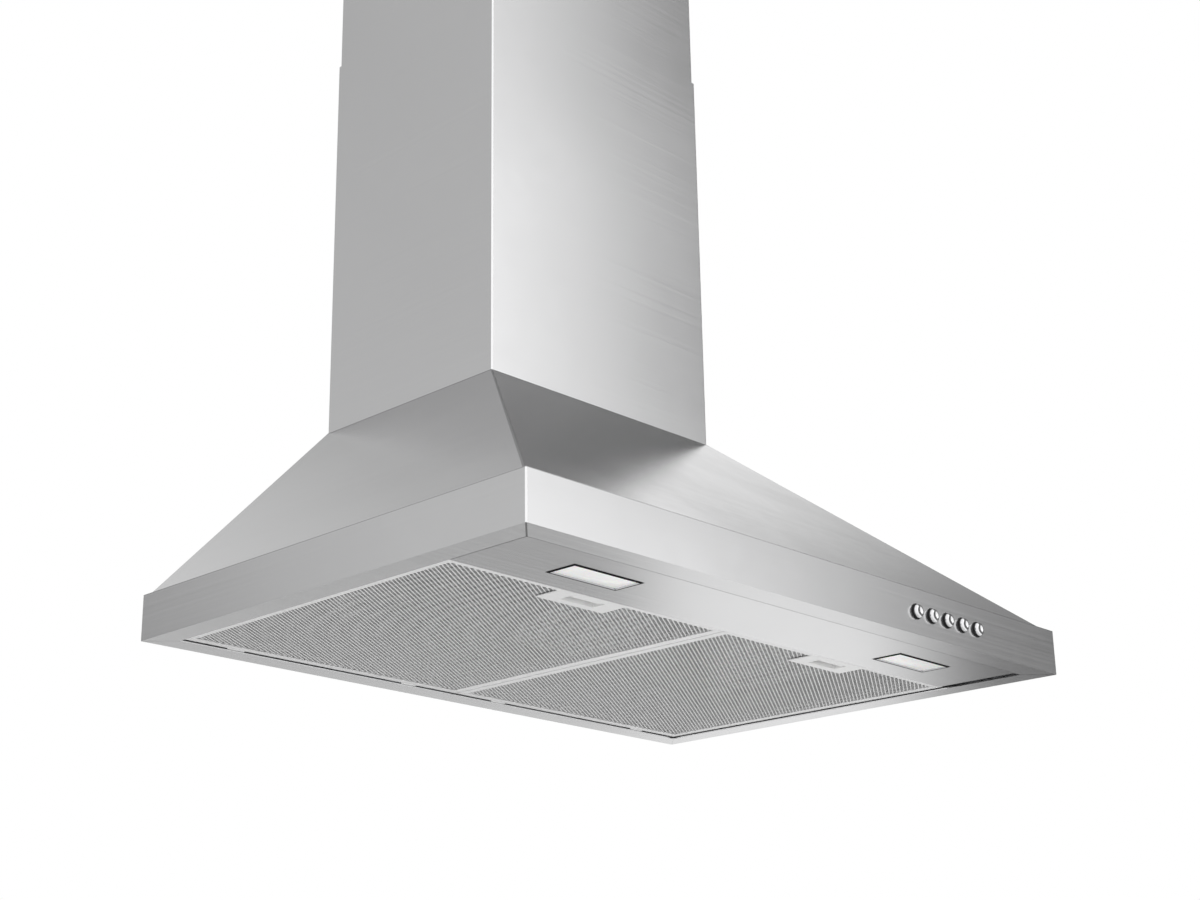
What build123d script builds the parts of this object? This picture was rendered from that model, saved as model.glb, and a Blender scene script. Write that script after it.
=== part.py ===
"""Wall mount range hood: canopy, mesh filters, blower, controls and telescoping chimney.

Millimetres, +Z up, +X to the right, the room side towards -Y. The pieces are modelled with the
wall face at y = 0 and the underside of the rim at z = 0, and written with the origin at the centre
of the four wall holes.
"""
from math import cos, degrees, hypot, pi, sin, tan
from build123d import *
import os

os.makedirs("parts", exist_ok=True)

# Canopy
width = 750.0
depth = 520.0
fascia_height = 45.0
fascia_ledge = 5.0
slope_top = 262.0
sheet = 1.0
rim_width = 26.0
rim_lip_height = 11.0
bend_radius = 1.6
mitre_groove_width = 0.5
mitre_groove_depth = 0.4
neck_height = 26.0
seat_ledge = 1.0

# Chimney covers
chimney_width = 318.0
chimney_depth = 252.0
cover_sheet = 0.8
cover_gap = 0.9
cover_return = 15.0
neck_clearance = 0.5
lower_cover_height = 440.0
cover_seam = 0.5
upper_cover_height = 400.0
upper_cover_shown = 230.0

# Wall fixing
wall_hole_radius = 4.0
wall_hole_place_share = 2 / 15
wall_hole_spacing_z = 80.0
wall_hole_height = 150.0
doubler_sheet = 2.0
doubler_margin = 20.0

# Light panel and lamps
panel_depth = 90.0
panel_seam = 0.5
panel_left_gap = 0.8
panel_right_gap = 12.0
panel_lip_height = 14.0
panel_screw_radius = 1.6
panel_screw_head_radius = 3.0
panel_screw_head = 1.8
panel_screw_tail = 1.4
panel_screw_height = 6.5
panel_screw_places_share = (-0.82, -0.30, 0.30, 0.82)
lamp_place_share = 0.3
lens_width = 76.0
lens_depth = 26.0
lens_thick = 2.6
lens_recess = 1.5
lens_gap = 0.3
bezel_flange = 4.0
bezel_proud = 0.6
bezel_wall = 1.2
bezel_height = 7.0
module_height = 14.0
module_margin = 2.0
fin_count = 9
fin_thick = 1.4
fin_height = 6.0

# Push buttons and switch block
button_count = 5
button_names = ("off", "low", "medium", "high", "light")
button_pitch = 25.0
button_place_share = 0.244
button_height = 22.0
button_radius = 6.4
button_proud = 5.0
button_skirt = 3.0
button_edge_round = 2.2
button_travel = 3.0
stem_radius = 2.4
stem_length = 9.0
stem_clearance = 0.2
guide_clearance = 0.4
guide_wall = 0.9
guide_proud = 0.5
guide_flange_radius = 10.0
guide_flange_thick = 1.2
guide_length = 6.5
switch_standoff = 10.0
switch_depth = 13.0
switch_tall = 22.0
switch_end_margin = 16.0
bracket_sheet = 1.2
bracket_foot = 9.0
bracket_back_height = 12.0

# Grease filters
filter_thick = 9.0
filter_floor = 2.0
filter_gap = 1.5
filter_border = 9.0
filter_wall = 1.2
filter_lip = 0.8
net_sheet = 0.6
net_columns = 16
net_rows = 18
net_strand = 2.4
pleat_pitch = 14.0
pleat_sheet = 0.5
pleat_head_gap = 0.4
hinge_bead_radius = 1.5
hinge_bead_gap = 0.3
hinge_bead_length = 20.0
hinge_bead_spread = 110.0
hinge_inset = 1.5
hinge_link = 0.8

# Filter handle and latch
handle_width = 82.0
handle_depth = 33.0
handle_sheet = 1.0
pull_width = 42.0
pull_depth = 15.0
pull_wall = 1.0
pull_rise = 8.0
pull_clearance = 0.6
tab_thick = 3.0
tab_width = 36.0
tab_rise = 5.6
tab_gap = 0.3
tongue_width = 16.0
tongue_thick = 2.4
tongue_bottom = 3.8
tongue_gap = 0.3

# Blower
scroll_radius = 97.0
scroll_step = 13.0
scroll_width = 140.0
scroll_sheet = 1.0
blower_height = 136.0
wheel_radius = 82.0
blade_chord = 14.0
blade_count = 36
blade_sheet = 0.9
blade_lean = 38.0
blade_bow = 2.3
wheel_half_width = 58.0
wheel_ring = 2.0
wheel_disc = 1.6
hub_radius = 14.0
hub_length = 18.0
inlet_radius = 66.0
inlet_lip = 6.0
inlet_lip_wall = 1.5
shaft_radius = 4.0
shaft_clearance = 0.05
shaft_nose = 22.0
shaft_tail = 4.0
nut_radius = 8.0
nut_thick = 5.0
motor_radius = 46.0
motor_start = 14.0
motor_round = 4.0
bracket_arms = 3
first_arm_angle = 90.0
arm_width = 14.0
arm_thick = 2.0
arm_overlap = 9.0
arm_ring_outer = 40.0
arm_ring_inner = 18.0
bracket_screw_radius = 2.0
bracket_screw_head_radius = 4.0
bracket_screw_head = 2.4
bracket_screw_tail = 1.4

# Deck, duct collar and damper
deck_sheet = 1.5
deck_lip = 14.0
collar_radius = 74.5
collar_wall = 1.0
collar_height = 45.0
collar_flange_radius = 92.0
collar_flange = 1.5
damper_height = 16.0
damper_rod_radius = 1.5
knuckle_clearance = 0.05
knuckle_wall = 0.8
damper_stop_length = 9.0
damper_stop_thick = 3.0
flap_sheet = 0.7
flap_rim_gap = 1.6
flap_root = 3.2
knuckle_length = 16.0
knuckle_places_share = (-0.72, 0.28)
knuckle_shift_share = 1.2
deck_screw_count = 6
deck_screw_circle = 86.0
deck_screw_radius = 2.0
deck_screw_head_radius = 4.5
deck_screw_head = 3.0
deck_screw_tail = 1.5

# Electrics
box_place_share = 0.1707
box_width = 92.0
box_depth = 50.0
box_tall = 74.0
box_floor = 62.0
box_wall = 2.0
box_cover = 2.0
block_width = 60.0
block_depth = 16.0
block_tall = 18.0
block_poles = 5
block_pole_radius = 2.2
block_pole_depth = 4.0
gland_place_share = 0.3711
gland_y = 34.0
gland_radius = 9.0
gland_bore = 4.2
gland_nut_radius = 13.0
gland_nut = 6.0
gland_height = 24.0
gland_tail = 8.0
capacitor_radius = 16.0
capacitor_length = 60.0
capacitor_place_share = -0.2
capacitor_y = 22.0
capacitor_foot = 12.0
capacitor_round = 1.6
clip_sheet = 1.2
clip_width = 14.0
driver_place_share = 0.3134
driver_width = 96.0
driver_depth = 34.0
driver_tall = 24.0
driver_height = 66.0
driver_round = 2.0

# Inner leads
lead_radius = 2.0
lead_gap = 0.4
lead_bend_share = 0.45
switch_lead_exit = 5.0
switch_lead_inset = 14.0
motor_lead_shares = (0.33, 0.25)
switch_lead_shares = (
    (0, 0.06, 0),
    (0.5, 0.14, 0.5),
    (0.92, 0.24, 1),
    (1, 0.38, 1),
    (1, 0.74, 1),
    (0.86, 0.85, 1),
)
lamp_lead_shares = (
    (0.33, 0, 0),
    (0.75, 0.07, 0.5),
    (1, 0.22, 1),
    (1, 0.74, 1),
    (0.82, 0.87, 1.14),
)
lead_end_shares = ((0.5, 0.5), (0.75, 1), (1, 1))

# Chimney bracket
wall_bracket_tall = 36.0
wall_bracket_drop = 10.0
wall_bracket_sheet = 2.0
wall_bracket_arm = 32.0
wall_bracket_gap = 0.3
wall_bracket_hole_radius = 3.0
wall_bracket_hole_spacing = 120.0
cover_screw_radius = 2.0
cover_screw_head_radius = 4.0
cover_screw_head = 1.8
cover_screw_tail = 2.0
cover_notch_margin = 4.0

overrun = 2.0
seat_gap = 0.3


def block(x0, x1, y0, y1, z0, z1):
    """A box between two corners."""
    return Pos((x0 + x1) / 2, (y0 + y1) / 2, (z0 + z1) / 2) * Box(x1 - x0, y1 - y0, z1 - z0)


def rod_x(x0, x1, y, z, radius):
    """A round bar along X."""
    return Pos((x0 + x1) / 2, y, z) * Rot(0, 90, 0) * Cylinder(radius, x1 - x0)


def rod_y(x, y0, y1, z, radius):
    """A round bar along Y."""
    return Pos(x, (y0 + y1) / 2, z) * Rot(90, 0, 0) * Cylinder(radius, y1 - y0)


def rod_z(x, y, z0, z1, radius):
    """A round bar along Z."""
    return Pos(x, y, (z0 + z1) / 2) * Cylinder(radius, z1 - z0)


def write(name, *solids):
    """Moves a node to the wall holes' centre and writes it; several solids stay separate."""
    moved = [Pos(0, 0, -wall_hole_height) * part for solid in solids for part in solid.solids()]
    shape = moved[0] if len(moved) == 1 else Compound(children=moved)
    export_step(shape, "parts/" + name + ".step")


def section(half_width, front, back, height):
    """A level rectangle between the side planes, from the front to the back plane."""
    return Pos(0, (back - front) / 2, height) * Rectangle(2 * half_width, front + back)


# Shared places
fascia_back = depth - sheet
half_width = width / 2
half_cover = chimney_width / 2
half_neck = half_cover - cover_sheet - neck_clearance
neck_front = chimney_depth - cover_sheet - neck_clearance
neck_back = cover_sheet + cover_seam
neck_top = slope_top + neck_height
slope_rise = slope_top - fascia_height
side_run = half_width - fascia_ledge - half_cover - seat_ledge
front_run = depth - fascia_ledge - chimney_depth - seat_ledge
rim_inner_x = half_width - rim_width
rim_inner_front = depth - rim_width
panel_front = rim_inner_front - panel_seam
panel_back = rim_inner_front - panel_depth
deck_floor = slope_top
wall_hole_x = wall_hole_place_share * width
lamp_offset = lamp_place_share * width
button_middle = button_place_share * width
box_left = box_place_share * width
capacitor_x = capacitor_place_share * width
driver_x = driver_place_share * width
gland_x = gland_place_share * chimney_width


def canopy_cavity(back):
    """The space inside the sheet: a straight band under four planes set in by the sheet."""
    side_in = sheet * hypot(side_run, slope_rise) / slope_rise
    front_in = sheet * hypot(front_run, slope_rise) / slope_rise
    band_top = fascia_height - sheet
    cone_top = slope_top - sheet
    side_per_rise = side_run / slope_rise
    front_per_rise = front_run / slope_rise
    foot_half = half_width - fascia_ledge - side_in + sheet * side_per_rise
    foot_front = depth - fascia_ledge - front_in + sheet * front_per_rise
    head_half = half_cover + seat_ledge - side_in + sheet * side_per_rise
    head_front = chimney_depth + seat_ledge - front_in + sheet * front_per_rise
    band = block(sheet - half_width, half_width - sheet, sheet - depth, back, sheet, band_top)
    cone = loft([
        section(foot_half, foot_front, back, band_top),
        section(head_half, head_front, back, cone_top),
    ])
    return band + cone


def canopy_shell():
    """Fascia band, slopes, turned-in rim and the neck that the chimney covers hide."""
    band = block(-half_width, half_width, -depth, 0, 0, fascia_height)
    upright = band.edges().filter_by(Axis.Z).sort_by(Axis.Y)[:2]
    band = fillet(upright, bend_radius)
    cone = loft([
        section(half_width - fascia_ledge, depth - fascia_ledge, 0, fascia_height),
        section(half_cover + seat_ledge, chimney_depth + seat_ledge, 0, slope_top),
    ])
    neck = block(-half_neck, half_neck, -neck_front, -neck_back, slope_top, neck_top)
    shell = band + cone + neck - canopy_cavity(overrun)
    shell -= block(
        sheet - half_neck, half_neck - sheet,
        sheet - neck_front, -neck_back - sheet,
        slope_top - sheet - overrun, neck_top + overrun,
    )
    shell -= block(-rim_inner_x, rim_inner_x, -rim_inner_front, -rim_width, -overrun, sheet + overrun)
    shell += block(
        -rim_inner_x, rim_inner_x,
        -rim_inner_front - sheet, -rim_inner_front, 0, rim_lip_height,
    )
    groove = hypot(rim_width, rim_width) + 2 * overrun
    for side in (-1, 1):
        for corner_y, turn in ((-depth + rim_width / 2, side), (-rim_width / 2, -side)):
            cut = Box(groove, mitre_groove_width, 2 * mitre_groove_depth)
            shell -= Pos(side * (half_width - rim_width / 2), corner_y, 0) * Rot(0, 0, -45 * turn) * cut
    for place in button_places():
        shell -= rod_y(place, -depth - overrun, -fascia_back + overrun, button_height, guide_hole_radius())
    for place in panel_screw_places():
        shell -= rod_y(
            place, -rim_inner_front - sheet - overrun, -rim_inner_front + panel_seam / 2,
            panel_screw_height, panel_screw_radius,
        )
    return shell


def button_places():
    """The five buttons' middles along the fascia."""
    first = button_middle - button_pitch * (button_count - 1) / 2
    return [first + button_pitch * step for step in range(button_count)]


def guide_hole_radius():
    """The fascia holes take the guide rings' sleeves."""
    return button_radius + guide_clearance + guide_wall


def panel_screw_places():
    """The light panel's screws, by share of the way from its middle to its right end."""
    return [share * (rim_inner_x - panel_right_gap) for share in panel_screw_places_share]


def wall_hole_places():
    """The four wall holes on the rear panel."""
    return [
        (side * wall_hole_x, wall_hole_height + level * wall_hole_spacing_z / 2)
        for side in (-1, 1) for level in (-1, 1)
    ]


def rear_panel():
    """The sheet that closes the canopy's back and hangs on the wall."""
    slab = block(-half_width, half_width, -sheet, 0, sheet, slope_top - sheet)
    panel = slab & canopy_cavity(0)
    for x, z in wall_hole_places():
        panel -= rod_y(x, -sheet - overrun, overrun, z, wall_hole_radius)
    return panel


def hanger_doubler(side):
    """A thicker plate round two wall holes, welded to the rear panel."""
    middle = side * wall_hole_x
    reach = wall_hole_spacing_z / 2 + doubler_margin
    plate = block(
        middle - doubler_margin, middle + doubler_margin, -sheet - doubler_sheet, -sheet,
        wall_hole_height - reach, wall_hole_height + reach,
    )
    for x, z in wall_hole_places():
        plate -= rod_y(x, -sheet - doubler_sheet - overrun, overrun, z, wall_hole_radius)
    return plate


def lamp_hole():
    """Half sizes of the light panel's lamp hole."""
    wall = lens_gap + bezel_wall
    return lens_width / 2 + wall, lens_depth / 2 + wall


lamp_y = -(panel_front + panel_back) / 2


def frame_block(x, y, half_x, half_y, wall, z0, z1):
    """A rectangular ring standing outside the given half sizes."""
    outer = block(x - half_x - wall, x + half_x + wall, y - half_y - wall, y + half_y + wall, z0, z1)
    return outer - block(x - half_x, x + half_x, y - half_y, y + half_y, z0 - overrun, z1 + overrun)


def light_panel():
    """The sheet behind the front rim, with turned-up lips on all four sides."""
    left = panel_left_gap - rim_inner_x
    right = rim_inner_x - panel_right_gap
    panel = block(left, right, -panel_front, -panel_back, 0, panel_lip_height)
    panel -= block(
        left + sheet, right - sheet, sheet - panel_front, -panel_back - sheet,
        sheet, panel_lip_height + overrun,
    )
    hole_x, hole_y = lamp_hole()
    for side in (-1, 1):
        middle = side * lamp_offset
        panel -= block(
            middle - hole_x - seat_gap, middle + hole_x + seat_gap,
            lamp_y - hole_y - seat_gap, lamp_y + hole_y + seat_gap, -overrun, sheet + overrun,
        )
    for place in panel_screw_places():
        panel -= rod_y(
            place, -panel_front - overrun, -panel_front + sheet + overrun,
            panel_screw_height, panel_screw_radius,
        )
    return panel


def panel_screw(place):
    """A pan head screw through the panel's lip and the rim's lip."""
    seat = -panel_front + sheet
    head = rod_y(place, seat, seat + panel_screw_head, panel_screw_height, panel_screw_head_radius)
    shank = rod_y(
        place, -rim_inner_front - sheet - panel_screw_tail, seat, panel_screw_height, panel_screw_radius)
    return head + shank


def light_frame(side):
    """The lamp bezel: a thin flange under the panel and a wall through its hole."""
    middle = side * lamp_offset
    inner_x = lens_width / 2 + lens_gap
    inner_y = lens_depth / 2 + lens_gap
    flange = frame_block(middle, lamp_y, inner_x, inner_y, bezel_flange, -bezel_proud, 0)
    outer_edges = flange.faces().sort_by(Axis.Z)[0].outer_wire().edges()
    flange = chamfer(outer_edges, bezel_proud / 2)
    return flange + frame_block(middle, lamp_y, inner_x, inner_y, bezel_wall, 0, bezel_height)


def light_lens(side):
    """The frosted lens, set back inside the bezel."""
    middle = side * lamp_offset
    return block(
        middle - lens_width / 2, middle + lens_width / 2,
        lamp_y - lens_depth / 2, lamp_y + lens_depth / 2, lens_recess, lens_recess + lens_thick,
    )


def light_module(side):
    """The lamp body with cooling fins, standing on the bezel's wall."""
    middle = side * lamp_offset
    hole_x, hole_y = lamp_hole()
    half_x = hole_x + module_margin
    half_y = hole_y + module_margin
    top = bezel_height + module_height - fin_height
    body = block(middle - half_x, middle + half_x, lamp_y - half_y, lamp_y + half_y, bezel_height, top)
    step = (2 * half_x - fin_thick) / (fin_count - 1)
    for count in range(fin_count):
        left = middle - half_x + step * count
        body += block(left, left + fin_thick, lamp_y - half_y, lamp_y + half_y, top, top + fin_height)
    return body


def button(place):
    """A round cap with a softened front edge and a stem into the switch block."""
    cap = rod_y(place, -depth - button_proud, -depth + button_skirt, button_height, button_radius)
    front_edge = cap.edges().filter_by(GeomType.CIRCLE).sort_by(Axis.Y)[0]
    cap = fillet(front_edge, button_edge_round)
    foot = -depth + button_skirt
    return cap + rod_y(place, foot, foot + stem_length, button_height, stem_radius)


def guide(place):
    """The dark ring round a button, flanged behind the fascia."""
    inner = button_radius + guide_clearance
    outer = inner + guide_wall
    sleeve = rod_y(place, -depth - guide_proud, -depth + guide_length, button_height, outer)
    flange = rod_y(
        place, -fascia_back, -fascia_back + guide_flange_thick, button_height, guide_flange_radius)
    bore = rod_y(place, -depth - overrun, -depth + guide_length + overrun, button_height, inner)
    return sleeve + flange - bore


def switch_span():
    """Left and right ends of the switch block."""
    reach = button_pitch * (button_count - 1) / 2 + switch_end_margin
    return button_middle - reach, button_middle + reach


def switch_body():
    """The switch block, with a well for each stem."""
    left, right = switch_span()
    face = -depth + switch_standoff
    body = block(
        left, right, face, face + switch_depth,
        button_height - switch_tall / 2, button_height + switch_tall / 2,
    )
    well = button_skirt + stem_length + button_travel + stem_clearance - depth
    for place in button_places():
        body -= rod_y(place, face - overrun, well, button_height, stem_radius + stem_clearance)
    return body


def switch_bracket():
    """A channel round the switch block with feet on the fascia's inner face."""
    left, right = switch_span()
    bottom = button_height - switch_tall / 2
    top = button_height + switch_tall / 2
    back = -depth + switch_standoff + switch_depth
    bracket = block(
        left - bracket_sheet, right + bracket_sheet, back, back + bracket_sheet,
        bottom, bottom + bracket_back_height,
    )
    bracket += block(left - bracket_sheet, left, -fascia_back, back, bottom, top)
    bracket += block(right, right + bracket_sheet, -fascia_back, back, bottom, top)
    seat = -fascia_back + bracket_sheet
    bracket += block(left - bracket_foot, left, -fascia_back, seat, bottom, top)
    bracket += block(right, right + bracket_foot, -fascia_back, seat, bottom, top)
    return bracket


# Filter places, for the filter on the +X side
filter_left_edge = filter_gap / 2
filter_right_edge = rim_inner_x - filter_gap
filter_middle = (filter_left_edge + filter_right_edge) / 2
filter_front = panel_back - filter_gap
filter_back = rim_width + filter_gap
filter_top = filter_floor + filter_thick
net_floor = filter_floor + filter_lip
hinge_y = -(rim_width - hinge_inset)
hinge_z = sheet + hinge_bead_gap + hinge_bead_radius
handle_front = filter_front - filter_gap
handle_back = handle_front - handle_depth
pull_middle = (handle_front + handle_back) / 2
pull_floor = filter_floor - handle_sheet


def pull_pocket(margin, z0, z1):
    """The finger pocket's outline, grown by a margin."""
    half_x = pull_width / 2 + margin
    half_y = pull_depth / 2 + margin
    return block(
        filter_middle - half_x, filter_middle + half_x, -pull_middle - half_y, -pull_middle + half_y, z0, z1)


def tongue(margin, start, end):
    """The latch tongue between two distances from the wall, grown by a margin."""
    half_x = tongue_width / 2 + margin
    return block(
        filter_middle - half_x, filter_middle + half_x, -start, -end,
        tongue_bottom - margin, tongue_bottom + tongue_thick + margin,
    )


def filter_frame():
    """The aluminium channel frame with two hooked tabs at the wall side."""
    frame = block(
        filter_left_edge, filter_right_edge, -filter_front, -filter_back, filter_floor, filter_top)
    frame -= block(
        filter_left_edge + filter_border, filter_right_edge - filter_border,
        filter_border - filter_front, -filter_back - filter_border,
        filter_floor - overrun, filter_top + overrun,
    )
    frame -= block(
        filter_left_edge + filter_wall, filter_right_edge - filter_wall,
        filter_wall - filter_front, -filter_back - filter_wall,
        net_floor, filter_top - filter_lip,
    )
    frame -= tongue(seat_gap, filter_front + overrun, filter_front - filter_wall - overrun)
    for side in (-1, 1):
        middle = filter_middle + side * hinge_bead_spread
        left = middle - hinge_bead_length / 2
        right = middle + hinge_bead_length / 2
        frame += rod_x(left, right, hinge_y, hinge_z, hinge_bead_radius)
        frame += block(
            left, right, -filter_back - filter_wall, hinge_y,
            hinge_z - hinge_link / 2, hinge_z + hinge_link / 2,
        )
    return frame


def net_span():
    """The face net reaches into the frame's channel on all four sides."""
    edge = filter_wall + seat_gap
    return (
        filter_left_edge + edge, filter_right_edge - edge,
        edge - filter_front, -filter_back - edge,
    )


def filter_net():
    """The expanded face sheet: one flat face with diamond gaps, open round the finger pocket."""
    left, right, near, far = net_span()
    margin = filter_border
    step_x = (right - left - 2 * margin) / net_columns
    step_y = (far - near - 2 * margin) / net_rows
    half_x = step_x / 2 - net_strand / 2
    half_y = step_y / 2 - net_strand / 2
    notch_x = pull_width / 2 + pull_wall + pull_clearance
    notch_y = pull_depth / 2 + pull_wall + pull_clearance
    gaps = [Wire.make_polygon([
        (filter_middle - notch_x, -pull_middle - notch_y, net_floor),
        (filter_middle + notch_x, -pull_middle - notch_y, net_floor),
        (filter_middle + notch_x, -pull_middle + notch_y, net_floor),
        (filter_middle - notch_x, -pull_middle + notch_y, net_floor),
    ])]
    for column in range(net_columns):
        for row in range(net_rows):
            x = left + margin + step_x * (column + 0.5)
            y = near + margin + step_y * (row + 0.5)
            clear_x = abs(x - filter_middle) > notch_x + step_x / 2
            clear_y = abs(y + pull_middle) > notch_y + step_y / 2
            if clear_x or clear_y:
                gaps.append(Wire.make_polygon([
                    (x - half_x, y, net_floor), (x, y - half_y, net_floor),
                    (x + half_x, y, net_floor), (x, y + half_y, net_floor),
                ]))
    outline = Wire.make_polygon([
        (left, near, net_floor), (right, near, net_floor),
        (right, far, net_floor), (left, far, net_floor),
    ])
    return extrude(Face(outline, gaps), net_sheet, dir=(0, 0, 1))


def filter_pleat():
    """The pleated inner mesh layer, pressed between the net and the frame's upper lip."""
    left, right, near, far = net_span()
    low = net_floor + net_sheet + pleat_head_gap
    high = filter_top - filter_lip - pleat_head_gap - pleat_sheet
    folds = int((right - left) // pleat_pitch)
    step = (right - left) / folds
    lower = []
    for count in range(2 * folds + 1):
        lower.append((left + step * count / 2, low if count % 2 == 0 else high))
    upper = [(x, z + pleat_sheet) for x, z in reversed(lower)]
    points = [Vector(x, near, z) for x, z in lower + upper]
    sheet_face = Face(Wire.make_polygon(points))
    pleat = extrude(sheet_face, far - near, dir=(0, 1, 0))
    pleat -= pull_pocket(pull_wall + pull_clearance, filter_floor, filter_top)
    half_x = tongue_width / 2 + pull_clearance
    pleat -= block(
        filter_middle - half_x, filter_middle + half_x,
        -filter_front, -pull_middle, filter_floor, filter_top,
    )
    return pleat


def filter_handle():
    """The handle plate under the net, with a finger pocket rising through it."""
    plate = block(
        filter_middle - handle_width / 2, filter_middle + handle_width / 2,
        -handle_front, -handle_back, pull_floor, filter_floor,
    )
    handle = plate + pull_pocket(pull_wall, filter_floor, pull_floor + pull_rise)
    handle -= pull_pocket(0, pull_floor - overrun, pull_floor + pull_rise - pull_wall)
    handle -= tongue(seat_gap, pull_middle + pull_depth, pull_middle)
    return handle


def filter_latch():
    """The finger tab in the pocket and the tongue that reaches the light panel's lip."""
    tab_front = pull_middle + pull_depth / 2 - tab_gap
    half_tab = tab_width / 2
    tab = block(
        filter_middle - half_tab, filter_middle + half_tab, -tab_front, tab_thick - tab_front,
        pull_floor + tab_gap, pull_floor + tab_gap + tab_rise,
    )
    return tab + tongue(0, panel_back - tongue_gap, tab_front - tab_thick / 2)


def opposite(shape):
    """The -X filter is the mirror image of the +X one."""
    return mirror(shape, about=Plane.YZ)


# Blower places
outlet_length = scroll_radius + 3 * scroll_step
duct_y = -chimney_depth / 2
cutoff_y = duct_y - outlet_length / 2
axis_y = cutoff_y + scroll_step / 2
axis_z = blower_height + scroll_step / 2
half_scroll = scroll_width / 2
scroll_face = half_scroll + scroll_sheet


def scroll_outline(inset, x, top):
    """The volute's outline: three growing quarter arcs and a straight outlet."""
    first = scroll_radius - inset
    second = scroll_radius + scroll_step - inset
    third = scroll_radius + 2 * scroll_step - inset
    c1 = (cutoff_y, blower_height)
    c2 = (cutoff_y + scroll_step, blower_height)
    c3 = (cutoff_y + scroll_step, blower_height + scroll_step)
    eighth = sin(pi / 4)

    def at(y, z):
        return Vector(x, y, z)

    tip = at(c1[0] + inset, c1[1] + first)
    arc_start = at(c1[0], c1[1] + first)
    front_point = at(c1[0] - first, c1[1])
    low_point = at(c2[0], c2[1] - second)
    back_point = at(c3[0] + third, c3[1])
    edges = [Edge.make_line(at(c1[0] + inset, top), tip)]
    if inset > 0:
        edges.append(Edge.make_line(tip, arc_start))
    edges += [
        Edge.make_three_point_arc(
            arc_start, at(c1[0] - first * eighth, c1[1] + first * eighth), front_point),
        Edge.make_three_point_arc(
            front_point, at(c2[0] - second * eighth, c2[1] - second * eighth), low_point),
        Edge.make_three_point_arc(
            low_point, at(c3[0] + third * eighth, c3[1] - third * eighth), back_point),
        Edge.make_line(back_point, at(c3[0] + third, top)),
        Edge.make_line(at(c3[0] + third, top), at(c1[0] + inset, top)),
    ]
    return Face(Wire(edges))


def blower_wrap():
    """The curved scroll sheet, open at both sides and at the deck."""
    outer = extrude(scroll_outline(0, -half_scroll, deck_floor), scroll_width, dir=(1, 0, 0))
    inner = extrude(
        scroll_outline(scroll_sheet, -half_scroll - overrun, deck_floor + overrun),
        scroll_width + 2 * overrun, dir=(1, 0, 0),
    )
    return outer - inner


def blower_side(side):
    """A scroll side plate with a turned-in inlet lip."""
    start = half_scroll if side > 0 else -scroll_face
    plate = extrude(scroll_outline(0, start, deck_floor), scroll_sheet, dir=(1, 0, 0))
    plate -= rod_x(start - overrun, start + scroll_sheet + overrun, axis_y, axis_z, inlet_radius)
    inner_face = side * half_scroll
    lip_end = inner_face - side * inlet_lip
    lip = rod_x(min(inner_face, lip_end), max(inner_face, lip_end), axis_y, axis_z,
                inlet_radius + inlet_lip_wall)
    lip -= rod_x(min(inner_face, lip_end) - overrun, max(inner_face, lip_end) + overrun,
                 axis_y, axis_z, inlet_radius)
    if side > 0:
        for angle in arm_angles():
            plate -= bracket_screw_shank(angle, half_scroll - overrun, scroll_face + overrun)
    return plate + lip


def blade(angle, start, length):
    """One forward-curved blade of the fan wheel, leaning in the turning direction."""
    root_radius = wheel_radius - blade_chord
    lean = angle + blade_lean * blade_chord / wheel_radius

    def at(radius, turn, offset):
        heading = turn * pi / 180
        reach = radius + offset
        return Vector(start, axis_y + reach * cos(heading), axis_z + reach * sin(heading))

    middle_radius = root_radius + blade_chord / 2
    inner = Edge.make_three_point_arc(
        at(root_radius, angle, 0), at(middle_radius, (angle + lean) / 2, blade_bow),
        at(wheel_radius, lean, 0))
    thick = degrees(blade_sheet / wheel_radius)
    outer = Edge.make_three_point_arc(
        at(wheel_radius, lean + thick, 0), at(middle_radius, (angle + lean) / 2 + thick, blade_bow),
        at(root_radius, angle + thick, 0))
    tip = Edge.make_line(inner @ 1, outer @ 0)
    root = Edge.make_line(outer @ 1, inner @ 0)
    return extrude(Face(Wire([inner, tip, outer, root])), length, dir=(1, 0, 0))


def ring_x(x0, x1, outer, inner):
    """A ring round the blower's axis."""
    return rod_x(x0, x1, axis_y, axis_z, outer) - rod_x(x0 - overrun, x1 + overrun, axis_y, axis_z, inner)


def fan_wheel():
    """The wheel's middle disc with its hub, and the two end rings."""
    rim_inner = wheel_radius - blade_chord
    rim_outer = wheel_radius + wheel_ring / 2
    disc = rod_x(-wheel_disc / 2, wheel_disc / 2, axis_y, axis_z, rim_outer)
    disc += rod_x(-hub_length / 2, hub_length / 2, axis_y, axis_z, hub_radius)
    disc -= rod_x(-hub_length, hub_length, axis_y, axis_z, shaft_radius)
    return [
        disc,
        ring_x(-wheel_half_width, wheel_ring - wheel_half_width, rim_outer, rim_inner),
        ring_x(wheel_half_width - wheel_ring, wheel_half_width, rim_outer, rim_inner),
    ]


def fan_blades():
    """A row of blades on each side of the disc, held by the end rings."""
    length = wheel_half_width - wheel_ring - wheel_disc / 2
    starts = (wheel_ring - wheel_half_width, wheel_disc / 2)
    turns = [360 / blade_count * count for count in range(blade_count)]
    return [blade(turn, start, length) for start in starts for turn in turns]


def motor_shaft():
    """The steel shaft from the wheel's nut into the motor."""
    return rod_x(-shaft_nose, half_scroll - shaft_tail, axis_y, axis_z, shaft_radius)


def wheel_nut():
    """The hexagon nut that holds the wheel's hub on the shaft."""
    hexagon = Plane.YZ * RegularPolygon(nut_radius, 6)
    nut = Pos(-hub_length / 2 - nut_thick, axis_y, axis_z) * extrude(hexagon, nut_thick, dir=(1, 0, 0))
    return nut - rod_x(-shaft_nose - overrun, overrun, axis_y, axis_z, shaft_radius)


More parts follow.
